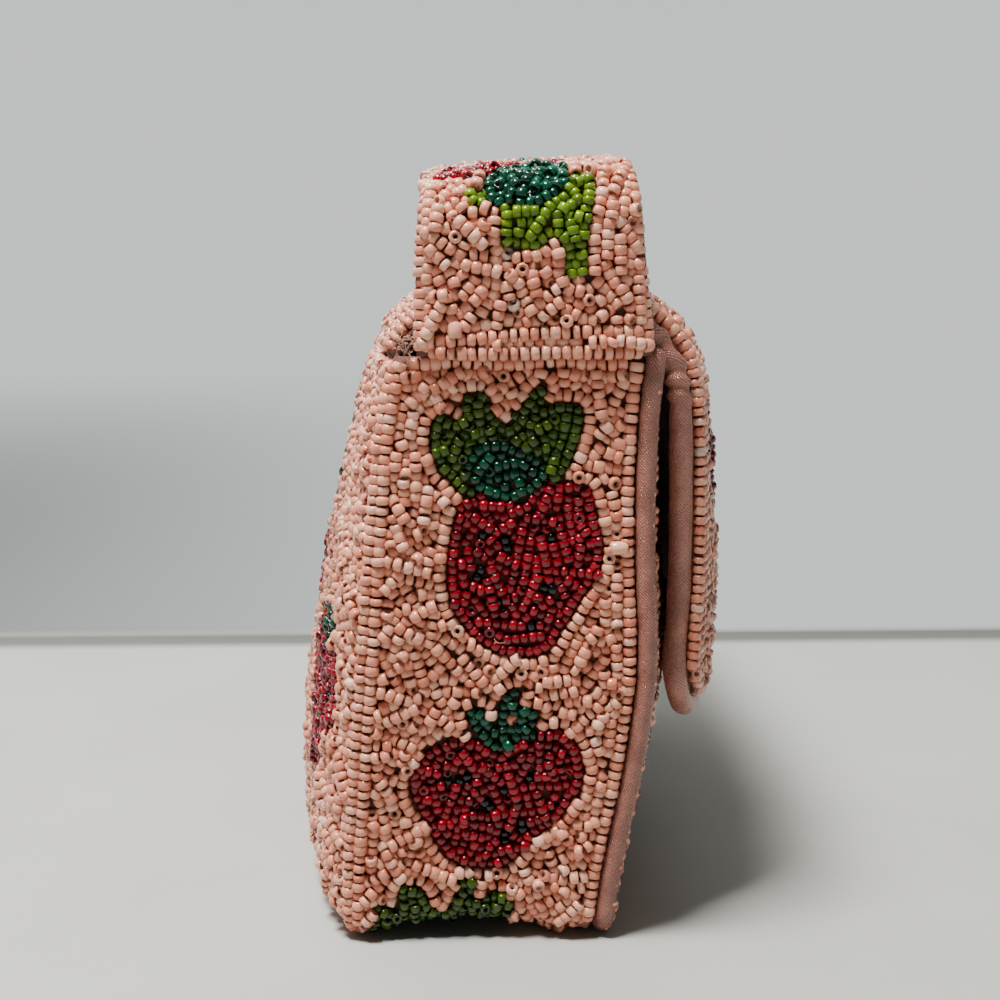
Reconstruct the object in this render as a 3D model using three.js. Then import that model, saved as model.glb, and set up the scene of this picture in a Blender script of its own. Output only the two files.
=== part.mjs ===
// A padded, bead-covered shoulder bag with a flap and a folded shoulder strap.
// Millimetres. X runs along the bag, the flap hangs at -Y, and Z is up.
import * as THREE from "three";

// Body: two puffed panels joined by one strip that goes down a side, under the bag and up.
const bagLength = 215;
const gussetHeight = 146;
const gussetDepth = 60;
const cornerRadius = 8;
const sideBow = 2;
const wall = 4;
const clearance = 0.3;
const backSwell = 20;
const frontSwell = 14;
const bottomArch = 4.5;
const sideDish = 1;
const mouthDrop = 6;

// Piping
const seamPiping = 4;
const flapPiping = 5.8;

// Flap
const flapWall = 4.4;
const liningWall = 1;
const flapInset = 9.5;
const flapRise = 16;
const flapCrown = 2.5;
const flapDrop = 86;
const flapGap = 5.4;
const lipDip = 14;
const lipRadius = 11;

// Strap, folded in three layers on top of the flap
const strapWidth = 54;
const footSpread = 3;
const strapWall = 5;
const strapOffset = 2;
const strapStandOut = 0.6;
const layerPitch = 8;
const topPitch = 15;
const bendRadius = 13;
const farBendRadius = 12;
const topHump = 4;
const nearTurnInset = 31;
const farTurnInset = 14;
const strapRoll = 0.08;

// Magnetic snap
const snapDiameter = 18;
const snapAboveLip = 12.7;
const snapHub = 7;

// Where the two seams of a side run, as shares of the gusset's depth at shares of its height.
const sideSection = [
  { up: 0, back: 0.46, front: -0.55 },
  { up: 0.12, back: 0.452, front: -0.585 },
  { up: 0.3, back: 0.42, front: -0.665 },
  { up: 0.48, back: 0.385, front: -0.715 },
  { up: 0.7, back: 0.345, front: -0.7 },
  { up: 0.88, back: 0.31, front: -0.707 },
  { up: 1, back: 0.252, front: -0.735 },
];

// How far a panel swells at mid-length, as a share of its swell, at shares of its height.
const swellSection = [
  { up: 0, out: 0.12 },
  { up: 0.035, out: 0.66 },
  { up: 0.1, out: 0.9 },
  { up: 0.19, out: 0.97 },
  { up: 0.3, out: 1 },
  { up: 0.45, out: 0.93 },
  { up: 0.6, out: 0.84 },
  { up: 0.72, out: 0.7 },
  { up: 0.84, out: 0.54 },
  { up: 1, out: 0.38 },
];

// The flap's section from the back seam, over the top and down the front. Across runs from the
// back seam at 0 to the hanging face at 1. Rise and drop are shares of flapRise and of the drop,
// and back, front and crown say how much of the back's, the front's and the top's swell it takes.
const flapSection = [
  { across: 0, rise: 0, drop: 0, back: 1, front: 0, crown: 0 },
  { across: 0.02, rise: 0.27, drop: 0, back: 0.84, front: 0, crown: 0.1 },
  { across: 0.085, rise: 0.6, drop: 0, back: 0.6, front: 0, crown: 0.35 },
  { across: 0.21, rise: 0.82, drop: 0, back: 0.3, front: 0, crown: 0.8 },
  { across: 0.45, rise: 0.88, drop: 0, back: 0, front: 0, crown: 1 },
  { across: 0.67, rise: 0.86, drop: 0, back: 0, front: 0.15, crown: 1 },
  { across: 0.83, rise: 0.68, drop: 0, back: 0, front: 0.32, crown: 0.9 },
  { across: 0.94, rise: 0.13, drop: 0, back: 0, front: 0.56, crown: 0.4 },
  { across: 0.985, rise: 0, drop: 0.12, back: 0, front: 0.7, crown: 0 },
  { across: 1, rise: 0, drop: 0.42, back: 0, front: 0.9, crown: 0 },
  { across: 1, rise: 0, drop: 0.72, back: 0, front: 1, crown: 0 },
  { across: 0.985, rise: 0, drop: 1, back: 0, front: 0.98, crown: 0 },
];

// Columns of a panel from its middle to its side seam, and how full it is between the seams.
const panelColumns = [0, 0.14, 0.28, 0.42, 0.55, 0.67, 0.78, 0.87, 0.94, 0.985, 1];
const panelRows = [0, 0.015, 0.034, 0.06, 0.12, 0.22, 0.31, 0.41, 0.51, 0.61, 0.71, 0.8, 0.87, 0.94, 1];
const backFullness = 0.6;
const frontFullness = 1.3;
const flapFullness = 0.8;

// Across the gusset: its rows, and how much of the arch or dish each takes. The outer rows are flat.
const gussetProfile = [
  { across: 0, arch: 0 },
  { across: 0.13, arch: 0 },
  { across: 0.3, arch: 0.72 },
  { across: 0.5, arch: 1 },
  { across: 0.7, arch: 0.72 },
  { across: 0.87, arch: 0 },
  { across: 1, arch: 0 },
];

// Across the strap, with how thick each column is.
const strapProfile = [
  { across: 0, thick: 0.55 },
  { across: 0.06, thick: 0.95 },
  { across: 0.35, thick: 1 },
  { across: 0.65, thick: 1 },
  { across: 0.94, thick: 0.95 },
  { across: 1, thick: 0.55 },
];

const sideSteps = 12;
const cornerSteps = 4;
const bottomSteps = 14;
const flapColumns = 18;
const flapRows = 22;
const spanSteps = 9;
const turnSteps = 6;
const roundSides = 10;
const snapSides = 20;

const beadPink = 0xe2b09f;
const satinRose = 0xc9978b;
const liningRose = 0xb27a70;
const snapSilver = 0xc4c2bd;
const snapDark = 0x3b3a3a;

// Smooth value of one column of a table at a share of its height.
function tableAt(rows, column, share) {
  const knots = rows.map((row) => new THREE.Vector2(row.up, row[column]));
  const last = knots.length - 1;
  const at = THREE.MathUtils.clamp(share, knots[0].x, knots[last].x);
  let k = 0;
  while (k < last - 1 && at > knots[k + 1].x) k += 1;
  const slope = (i) => {
    const a = knots[Math.max(i - 1, 0)];
    const b = knots[Math.min(i + 1, last)];
    return (b.y - a.y) / (b.x - a.x);
  };
  const span = knots[k + 1].x - knots[k].x;
  const t = (at - knots[k].x) / span;
  const [a, b] = [knots[k], knots[k + 1]];
  const rise = (b.y - a.y) * t * t * (3 - 2 * t);
  const bend = span * t * (1 - t) * (slope(k) * (1 - t) - slope(k + 1) * t);
  return a.y + rise + bend;
}

const halfLength = bagLength / 2;
const lerp = THREE.MathUtils.lerp;

// Half the bag's length at a height: round at the bottom corners, bowed a little above them.
// Inset is how far inside the outer face it is taken.
function halfLengthAt(z, inset = 0) {
  if (z < cornerRadius) {
    const below = cornerRadius - z;
    const radius = cornerRadius - inset;
    return halfLength - cornerRadius + Math.sqrt(Math.max(radius ** 2 - below ** 2, 0));
  }
  const share = Math.min((z - cornerRadius) / (gussetHeight - cornerRadius), 1);
  return halfLength - inset + sideBow * Math.sin(Math.PI * share) ** 2;
}

// How much of a panel's swell shows at a place along it, from 1 in the middle to 0 at the seams.
function fullnessAt(share, power) {
  return Math.max(1 - share * share, 0) ** power;
}

// The seam lines. Along the bottom they bow out with the panels.
function seamY(side, x, z) {
  const base = gussetDepth * tableAt(sideSection, side, z / gussetHeight);
  const low = Math.max(1 - z / cornerRadius, 0);
  const share = Math.min(Math.abs(x) / halfLengthAt(0), 1);
  return base + low * swellOf(side) * swellSection[0].out * fullnessAt(share, fullnessOf(side));
}

// A panel's swell, towards +Y at the back and -Y at the front, and how square its pillow is.
function swellOf(side) {
  return side === "back" ? backSwell : -frontSwell;
}

function fullnessOf(side) {
  return side === "back" ? backFullness : frontFullness;
}

// Normals of a grid of points, from the differences along its rows and columns.
function gridNormals(grid) {
  return grid.map((row, j) =>
    row.map((_, i) => {
      const across = new THREE.Vector3().subVectors(
        row[Math.min(i + 1, row.length - 1)],
        row[Math.max(i - 1, 0)],
      );
      const along = new THREE.Vector3().subVectors(
        grid[Math.min(j + 1, grid.length - 1)][i],
        grid[Math.max(j - 1, 0)][i],
      );
      return across.cross(along).normalize();
    }),
  );
}

// A grid moved along its normals. Inwards is positive.
function sunk(grid, normals, depth) {
  return grid.map((row, j) =>
    row.map((p, i) => p.clone().addScaledVector(normals[j][i], -depth)),
  );
}

// A closed wall between an outer and an inner grid of the same size.
function closedWall(outer, inner) {
  const rows = outer.length;
  const columns = outer[0].length;
  const points = [...outer.flat(), ...inner.flat()];
  const out = (j, i) => j * columns + i;
  const inn = (j, i) => rows * columns + out(j, i);
  const faces = [];
  const quad = (a, b, c, d) => faces.push(a, b, c, a, c, d);
  for (let j = 0; j < rows - 1; j += 1) {
    for (let i = 0; i < columns - 1; i += 1) {
      quad(out(j, i), out(j, i + 1), out(j + 1, i + 1), out(j + 1, i));
      quad(inn(j, i), inn(j + 1, i), inn(j + 1, i + 1), inn(j, i + 1));
    }
    quad(out(j, 0), out(j + 1, 0), inn(j + 1, 0), inn(j, 0));
    const i = columns - 1;
    quad(out(j, i), inn(j, i), inn(j + 1, i), out(j + 1, i));
  }
  for (let i = 0; i < columns - 1; i += 1) {
    const j = rows - 1;
    quad(out(0, i), inn(0, i), inn(0, i + 1), out(0, i + 1));
    quad(out(j, i), out(j, i + 1), inn(j, i + 1), inn(j, i));
  }
  const geometry = new THREE.BufferGeometry().setFromPoints(points);
  geometry.setIndex(faces);
  return facingOut(geometry);
}

// The same geometry with its faces turned round if it encloses a negative volume.
function facingOut(geometry) {
  const at = geometry.getAttribute("position");
  const index = geometry.index;
  const [a, b, c] = [new THREE.Vector3(), new THREE.Vector3(), new THREE.Vector3()];
  let volume = 0;
  for (let k = 0; k < index.count; k += 3) {
    a.fromBufferAttribute(at, index.getX(k));
    b.fromBufferAttribute(at, index.getX(k + 1));
    c.fromBufferAttribute(at, index.getX(k + 2));
    volume += a.dot(b.cross(c));
  }
  if (volume < 0) {
    for (let k = 0; k < index.count; k += 3) {
      const first = index.getX(k);
      index.setX(k, index.getX(k + 1));
      index.setX(k + 1, first);
    }
  }
  geometry.computeVertexNormals();
  return geometry;
}

// A closed tube along a smooth curve through the points.
function pipeAlong(points, diameter) {
  const circle = new THREE.Shape().absarc(0, 0, diameter / 2, 0, 2 * Math.PI);
  const route = new THREE.CatmullRomCurve3(points, false, "centripetal");
  return new THREE.ExtrudeGeometry(circle, {
    steps: points.length - 1,
    curveSegments: roundSides / 2,
    bevelEnabled: false,
    extrudePath: route,
  });
}

const group = new THREE.Group();

function addPiece(name, geometry, colour, roughness, metalness = 0) {
  const material = new THREE.MeshStandardMaterial({ color: colour, roughness, metalness });
  const mesh = new THREE.Mesh(geometry, material);
  mesh.name = name;
  group.add(mesh);
  return mesh;
}

// The U that the sides and the bottom follow, from one top edge to the other, moved inwards
// by depth. Each point has its place, the way out of the bag, and how much of it is bottom.
function gussetRoute(depth) {
  const points = [];
  const top = gussetHeight;
  for (let k = 0; k < sideSteps; k += 1) {
    const z = lerp(top, cornerRadius, k / sideSteps);
    points.push({ x: halfLengthAt(z) - depth, z, outX: 1, outZ: 0, low: 0 });
  }
  for (let k = 0; k <= cornerSteps; k += 1) {
    const turn = ((Math.PI / 2) * k) / cornerSteps;
    const radius = cornerRadius - depth;
    points.push({
      x: halfLength - cornerRadius + radius * Math.cos(turn),
      z: cornerRadius - radius * Math.sin(turn),
      outX: Math.cos(turn),
      outZ: -Math.sin(turn),
      low: k / cornerSteps,
    });
  }
  const flat = halfLength - cornerRadius;
  for (let k = 1; k < bottomSteps / 2; k += 1) {
    const x = flat * (1 - (2 * k) / bottomSteps);
    points.push({ x, z: depth, outX: 0, outZ: -1, low: 1 });
  }
  const far = points.map((p) => ({ ...p }));
  const near = points.map((p) => ({ ...p, x: -p.x, outX: -p.outX }));
  const middle = { x: 0, z: depth, outX: 0, outZ: -1, low: 1 };
  return [...near, middle, ...far.reverse()];
}

function gussetGrid(depth) {
  const outline = gussetRoute(0);
  return gussetRoute(depth).map((p, k) =>
    gussetProfile.map(({ across, arch }) => {
      const seam = outline[k];
      const back = seamY("back", seam.x, seam.z) - clearance / 2;
      const front = seamY("front", seam.x, seam.z) + clearance / 2;
      const lift = arch * lerp(sideDish, bottomArch, seam.low);
      return new THREE.Vector3(
        p.x - p.outX * lift,
        lerp(front, back, across),
        p.z - p.outZ * lift,
      );
    }),
  );
}

addPiece("gusset", closedWall(gussetGrid(0), gussetGrid(wall)), beadPink, 0.45);

// How far a panel's outer face stands out from its seam plane.
function swellAt(side, x, z) {
  const share = Math.min(Math.abs(x) / halfLengthAt(z), 1);
  const out = tableAt(swellSection, "out", z / gussetHeight) - lowSwellAt(z);
  return swellOf(side) * out * fullnessAt(share, fullnessOf(side));
}

// The part of the swell that the bottom seam has already taken.
function lowSwellAt(z) {
  return Math.max(1 - z / cornerRadius, 0) * swellSection[0].out;
}

// A panel's rim plane stands off the gusset by clearance, and at the front by the piping too.
function panelRimY(side, x, z) {
  const seam = seamY(side, x, z);
  if (side === "back") return seam + clearance / 2;
  return seam - clearance / 2 - seamPiping - 2 * clearance;
}

function panelFaceY(side, x, z) {
  return panelRimY(side, x, z) + swellAt(side, x, z);
}

// The height on the outer outline that a height on the inset outline belongs to.
function outlineZ(z, inset) {
  if (z >= cornerRadius) return z;
  return cornerRadius - ((cornerRadius - z) * cornerRadius) / (cornerRadius - inset);
}

// One face of a panel that ends below the gusset's top by drop, inset from its outer face.
function panelGrid(side, drop, inset) {
  const half = panelColumns.slice(1);
  const columns = [...half.map((s) => -s).reverse(), 0, ...half];
  const kept = 1 - inset / Math.abs(swellOf(side));
  return panelRows.map((up) => {
    const z = lerp(inset, gussetHeight - drop, up);
    const outerZ = up * (gussetHeight - drop);
    return columns.map((s) => {
      const x = s * halfLengthAt(z, inset);
      const outerX = s * halfLengthAt(outerZ);
      const y = panelRimY(side, outerX, outlineZ(z, inset)) + kept * swellAt(side, outerX, outerZ);
      return new THREE.Vector3(x, y, z);
    });
  });
}

function panelGeometry(side, drop) {
  return closedWall(panelGrid(side, drop, 0), panelGrid(side, drop, wall));
}

addPiece("back_panel", panelGeometry("back", 0), beadPink, 0.45);
addPiece("front_panel", panelGeometry("front", mouthDrop), beadPink, 0.45);

// The piping of the front seam lies between the gusset's edge and the panel's.
function seamPipingRoute() {
  const inset = seamPiping / 2 + clearance;
  const outline = gussetRoute(0);
  const kept = gussetRoute(inset).map((p, k) => ({ p, seam: outline[k] }));
  return kept
    .filter(({ seam }) => seam.z <= gussetHeight - mouthDrop / 2)
    .map(({ p, seam }) => {
      const y = seamY("front", seam.x, seam.z) - clearance / 2 - clearance - seamPiping / 2;
      return new THREE.Vector3(p.x, y, p.z);
    });
}

addPiece("front_piping", pipeAlong(seamPipingRoute(), seamPiping), satinRose, 0.4);

// The flap's outer face. At its sides it hangs clear of the front piping by flapGap.
const flapHalf = halfLength - flapInset;
const flapBackY = panelRimY("back", halfLength, gussetHeight);
const flapFrontY =
  panelRimY("front", halfLength, gussetHeight) - flapGap - liningWall - clearance - flapWall;

// How far the flap hangs below the gusset's top: lower in the middle, round at its corners.
function dropAt(x) {
  const share = x / flapHalf;
  const past = Math.max(Math.abs(x) - (flapHalf - lipRadius), 0);
  const corner = lipRadius - Math.sqrt(Math.max(lipRadius ** 2 - past ** 2, 0));
  return flapDrop + lipDip * (1 - share * share) - corner;
}

function flapSectionAt(x) {
  const full = fullnessAt(x / flapHalf, flapFullness);
  const backTop = tableAt(swellSection, "out", 1) * backSwell;
  const backFull = fullnessAt(x / halfLength, backFullness);
  const points = flapSection.map((row) => {
    const across = lerp(flapBackY, flapFrontY, row.across);
    const y = across + row.back * backTop * backFull - row.front * frontSwell * full;
    const crown = row.crown * flapCrown * full;
    const base = gussetHeight + clearance;
    const z = base + row.rise * flapRise + crown - row.drop * dropAt(x);
    return new THREE.Vector3(x, y, z);
  });
  return new THREE.CatmullRomCurve3(points, false, "centripetal").getSpacedPoints(flapRows);
}

const flapOuter = [];
for (let i = 0; i <= flapColumns; i += 1) {
  const turn = Math.PI * (i / flapColumns - 0.5);
  flapOuter.push(flapSectionAt(flapHalf * Math.sin(turn)));
}
const flapNormals = gridNormals(flapOuter);
if (flapNormals[flapColumns / 2][flapRows - 2].y > 0) {
  flapNormals.flat().forEach((n) => n.negate());
}

// Each depth of the flap starts level over the back panel's top edge.
function flapLayer(depth) {
  const layer = sunk(flapOuter, flapNormals, depth);
  layer.forEach((section) => {
    section[0].z = gussetHeight + clearance;
  });
  return layer;
}

addPiece("flap", closedWall(flapLayer(0), flapLayer(flapWall)), beadPink, 0.45);
const liningFace = flapWall + clearance;
const liningDepth = liningFace + liningWall;
addPiece(
  "flap_lining",
  closedWall(flapLayer(liningFace), flapLayer(liningDepth)),
  liningRose,
  0.35,
);

// The fat piping round the flap's free edges, centred on the lining.
function flapPipingRoute() {
  const last = flapColumns;
  const edge = [];
  const first = 2;
  for (let j = first; j < flapRows; j += 1) edge.push([0, j, -1, 0]);
  for (let i = 0; i <= last; i += 1) edge.push([i, flapRows, 0, 1]);
  for (let j = flapRows - 1; j >= first; j -= 1) edge.push([last, j, 1, 0]);
  const reach = 2 * clearance + flapPiping / 2;
  return edge.map(([i, j], k) => {
    const before = edge[Math.max(k - 1, 0)];
    const after = edge[Math.min(k + 1, edge.length - 1)];
    const tangent = new THREE.Vector3().subVectors(
      flapOuter[after[0]][after[1]],
      flapOuter[before[0]][before[1]],
    );
    const normal = flapNormals[i][j];
    const outward = tangent.cross(normal).normalize();
    const corner = Math.sign(i - last / 2);
    if (j < flapRows && outward.x * corner < 0) outward.negate();
    if (j === flapRows && outward.z > 0) outward.negate();
    return flapOuter[i][j]
      .clone()
      .addScaledVector(outward, reach)
      .addScaledVector(normal, -liningDepth);
  });
}

addPiece("flap_piping", pipeAlong(flapPipingRoute(), flapPiping), satinRose, 0.4);

// The strap's middle line in the XZ plane. Each point has a share of the roll, and of the
// spread that the strap has at its two feet.
const flapTop = gussetHeight + clearance + flapRise * flapSection[4].rise + flapCrown;
const lowLayer = flapTop + clearance + strapWall / 2;
const midLayer = lowLayer + layerPitch;
const topLayer = midLayer + topPitch;
const strapFoot = gussetHeight + clearance;
const strapFace = halfLength + strapStandOut;

function strapRoute() {
  const route = [];
  const span = (x0, z0, x1, z1, hump, roll0, roll1) => {
    for (let k = 0; k < spanSteps; k += 1) {
      const t = k / spanSteps;
      const lift = hump * Math.sin(Math.PI * t) ** 2;
      const roll = lerp(roll0, roll1, t);
      route.push({ x: lerp(x0, x1, t), z: lerp(z0, z1, t) + lift, roll, foot: 0 });
    }
  };
  const turn = (x, z, radius, from, to, roll) => {
    for (let k = 0; k < turnSteps; k += 1) {
      const at = lerp(from, to, k / turnSteps);
      route.push({ x: x + radius * Math.cos(at), z: z + radius * Math.sin(at), roll, foot: 0 });
    }
  };
  const bendX = -strapFace + bendRadius;
  const bendZ = topLayer - bendRadius;
  const farX = halfLength - farTurnInset;
  const nearX = -halfLength + nearTurnInset;
  const downX = strapFace - farBendRadius;
  const downZ = lowLayer - farBendRadius;
  for (let k = 0; k < spanSteps / 3; k += 1) {
    const t = (3 * k) / spanSteps;
    route.push({ x: -strapFace, z: lerp(strapFoot, bendZ, t), roll: t, foot: 1 - t });
  }
  turn(bendX, bendZ, bendRadius, Math.PI, Math.PI / 2, 1);
  span(bendX, topLayer, farX, topLayer, topHump, 1, 0.5);
  turn(farX, midLayer + topPitch / 2, topPitch / 2, Math.PI / 2, -Math.PI / 2, 0.3);
  span(farX, midLayer, nearX, midLayer, 0, 0, 0);
  turn(nearX, lowLayer + layerPitch / 2, layerPitch / 2, Math.PI / 2, (3 * Math.PI) / 2, 0);
  span(nearX, lowLayer, downX, lowLayer, 0, 0, 0);
  turn(downX, downZ, farBendRadius, Math.PI / 2, 0, 0);
  route.push({ x: strapFace, z: downZ, roll: 0, foot: 0 });
  route.push({ x: strapFace, z: strapFoot, roll: 0, foot: 1 });
  return route;
}

function strapGeometry() {
  const route = strapRoute();
  const gussetMiddle =
    (seamY("back", halfLength, gussetHeight) + seamY("front", halfLength, gussetHeight)) / 2;
  const middle = gussetMiddle - strapOffset;
  const face = (side) =>
    route.map((p, k) => {
      const before = route[Math.max(k - 1, 0)];
      const after = route[Math.min(k + 1, route.length - 1)];
      const run = new THREE.Vector2(after.x - before.x, after.z - before.z).normalize();
      if (k === 0 || k === route.length - 1) run.x = 0;
      return strapProfile.map(({ across, thick }) => {
        const y = (across - 0.5) * strapWidth - (1 - across) * footSpread * p.foot;
        const out = (side * thick * strapWall) / 2;
        const z = p.z + run.x * out - y * strapRoll * p.roll;
        return new THREE.Vector3(p.x - run.y * out, middle + y, z);
      });
    });
  return closedWall(face(1), face(-1));
}

addPiece("strap", strapGeometry(), beadPink, 0.45);

// The snap: a disc on the front panel and one under the flap, which share the room between.
const snapHeight = gussetHeight + clearance - dropAt(0) + snapAboveLip;
const snapReach = snapDiameter / 2;
const snapPanel = [-1, 0, 1].map((k) => panelFaceY("front", 0, snapHeight + k * snapReach));
const snapLining = flapLayer(liningDepth)
  .slice(flapColumns / 2 - 2, flapColumns / 2 + 3)
  .flat()
  .filter((p) => Math.abs(p.z - snapHeight) < 1.5 * snapReach)
  .map((p) => p.y);
const snapFrom = Math.min(...snapPanel) - clearance;
const snapTo = Math.max(...snapLining) + clearance;

// A round half of the snap with a raised hub, its flat back at y, thick towards -Y.
function snapHalf(name, y, thick, colour) {
  const radius = snapDiameter / 2;
  const lip = Math.abs(thick) * 0.25;
  const profile = [
    [0, 0],
    [radius, 0],
    [radius, Math.abs(thick) - lip],
    [radius - lip, Math.abs(thick)],
    [snapHub, Math.abs(thick)],
    [snapHub - lip, Math.abs(thick) - lip],
    [0, Math.abs(thick) - lip],
  ].map(([r, h]) => new THREE.Vector2(r, h));
  const mesh = addPiece(name, new THREE.LatheGeometry(profile, snapSides), colour, 0.3, 0.9);
  if (thick < 0) mesh.rotation.x = Math.PI;
  mesh.position.set(0, y, snapHeight);
}

const snapThick = (snapFrom - snapTo - clearance) / 2;
snapHalf("snap_stud", snapFrom, -snapThick, snapSilver);
snapHalf("snap_socket", snapTo, snapThick, snapDark);

// The origin is under the middle of the bag's box, on the surface it stands on.
const box = new THREE.Box3().setFromObject(group);
const centre = box.getCenter(new THREE.Vector3());
group.position.set(-centre.x, -centre.y, -box.min.z);

export default group;
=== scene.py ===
import math
import time

import bpy
import numpy as np
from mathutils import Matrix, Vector


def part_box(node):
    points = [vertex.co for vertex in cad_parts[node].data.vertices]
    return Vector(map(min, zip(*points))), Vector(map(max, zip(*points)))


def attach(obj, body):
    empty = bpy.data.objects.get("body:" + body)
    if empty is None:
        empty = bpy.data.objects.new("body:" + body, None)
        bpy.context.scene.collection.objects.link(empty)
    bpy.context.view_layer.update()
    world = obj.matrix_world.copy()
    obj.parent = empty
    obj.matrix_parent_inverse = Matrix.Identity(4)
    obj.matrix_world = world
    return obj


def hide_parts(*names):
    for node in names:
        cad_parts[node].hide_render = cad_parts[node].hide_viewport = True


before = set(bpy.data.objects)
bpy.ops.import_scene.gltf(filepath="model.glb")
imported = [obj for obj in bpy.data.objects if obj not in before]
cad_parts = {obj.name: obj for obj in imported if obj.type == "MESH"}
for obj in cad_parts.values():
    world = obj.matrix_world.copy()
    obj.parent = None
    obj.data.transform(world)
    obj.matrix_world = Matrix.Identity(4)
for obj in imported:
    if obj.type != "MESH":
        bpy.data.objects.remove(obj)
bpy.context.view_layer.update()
print("frame loaded")

shiftY = 13.996


def metres(points):
    return (np.asarray(points, float) + [0, shiftY, 0]) / 1000


# Camera, at the height of the bag's upper half and looking along it from its near end.
cameraData = bpy.data.cameras.new("camera")
cameraData.lens = 54
cameraData.sensor_width = 36
cameraData.clip_start = 0.01
cameraData.clip_end = 50
camera = bpy.data.objects.new("camera", cameraData)
bpy.context.scene.collection.objects.link(camera)
lookDown, lookAside = math.radians(10), math.radians(1.6)
looking = Vector(
    (
        math.cos(lookDown) * math.cos(lookAside),
        -math.cos(lookDown) * math.sin(lookAside),
        -math.sin(lookDown),
    )
)
camera.location = (-0.4575, shiftY / 1000, 0.174)
camera.rotation_mode = "QUATERNION"
camera.rotation_quaternion = looking.to_track_quat("-Z", "Y")
bpy.context.scene.camera = camera

# The bag's sizes, as the solids have them.
bagLength, bagHeight, gussetDepth, cornerRadius, sideBow = 215, 146, 60, 8, 2
wall, clearance, bottomArch, sideDish, mouthDrop = 4, 0.3, 4.5, 1, 6
halfLength = bagLength / 2
swells = {"back": 20, "front": -14}
fullness = {"back": 0.6, "front": 1.3}
seamUps = [0, 0.12, 0.3, 0.48, 0.7, 0.88, 1]
seams = {
    "back": [0.46, 0.452, 0.42, 0.385, 0.345, 0.31, 0.252],
    "front": [-0.55, -0.585, -0.665, -0.715, -0.7, -0.707, -0.735],
}
swellUps = [0, 0.035, 0.1, 0.19, 0.3, 0.45, 0.6, 0.72, 0.84, 1]
swellOuts = [0.12, 0.66, 0.9, 0.97, 1, 0.93, 0.84, 0.7, 0.54, 0.38]
flapHalf, flapRise, flapCrown, flapDrop, lipDip, lipRadius = 98, 16, 2.5, 86, 14, 11
flapWall, liningWall, flapGap, seamPiping, flapPiping = 4.4, 1, 5.4, 4, 5.8
flapFullness = 0.8


def smoothTable(ups, values, share):
    ups, values = np.asarray(ups, float), np.asarray(values, float)
    before, after = np.maximum(np.arange(len(ups)) - 1, 0), np.minimum(np.arange(len(ups)) + 1, len(ups) - 1)
    slopes = (values[after] - values[before]) / (ups[after] - ups[before])
    at = np.clip(share, ups[0], ups[-1])
    k = np.clip(np.searchsorted(ups, at, side="left") - 1, 0, len(ups) - 2)
    span = ups[k + 1] - ups[k]
    t = (at - ups[k]) / span
    rise = (values[k + 1] - values[k]) * t * t * (3 - 2 * t)
    return values[k] + rise + span * t * (1 - t) * (slopes[k] * (1 - t) - slopes[k + 1] * t)


def halfLengthAt(z, inset=0.0):
    z = np.asarray(z, float)
    below = np.maximum(cornerRadius - z, 0)
    low = halfLength - cornerRadius + np.sqrt(np.maximum((cornerRadius - inset) ** 2 - below**2, 0))
    share = np.clip((z - cornerRadius) / (bagHeight - cornerRadius), 0, 1)
    high = halfLength - inset + sideBow * np.sin(np.pi * share) ** 2
    return np.where(z < cornerRadius, low, high)


def fullnessAt(share, power):
    return np.maximum(1 - share * share, 0) ** power


def seamY(side, x, z):
    low = np.maximum(1 - z / cornerRadius, 0)
    share = np.minimum(np.abs(x) / halfLengthAt(0), 1)
    bow = low * swells[side] * swellOuts[0] * fullnessAt(share, fullness[side])
    return gussetDepth * smoothTable(seamUps, seams[side], z / bagHeight) + bow


def panelRimY(side, x, z):
    seam = seamY(side, x, z)
    return seam + clearance / 2 if side == "back" else seam - clearance / 2 - seamPiping - 2 * clearance


def panelFaceY(side, x, z):
    share = np.minimum(np.abs(x) / halfLengthAt(z), 1)
    out = smoothTable(swellUps, swellOuts, z / bagHeight) - np.maximum(1 - z / cornerRadius, 0) * swellOuts[0]
    return panelRimY(side, x, z) + swells[side] * out * fullnessAt(share, fullness[side])


def lengths(points):
    return np.concatenate([[0], np.cumsum(np.linalg.norm(np.diff(points, axis=0), axis=1))])


def evenly(points, count):
    along = lengths(points)
    at = np.linspace(0, along[-1], count)
    return np.stack([np.interp(at, along, points[:, k]) for k in range(points.shape[1])], 1)


def unit(v):
    return v / np.maximum(np.linalg.norm(v, axis=-1, keepdims=True), 1e-9)


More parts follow.
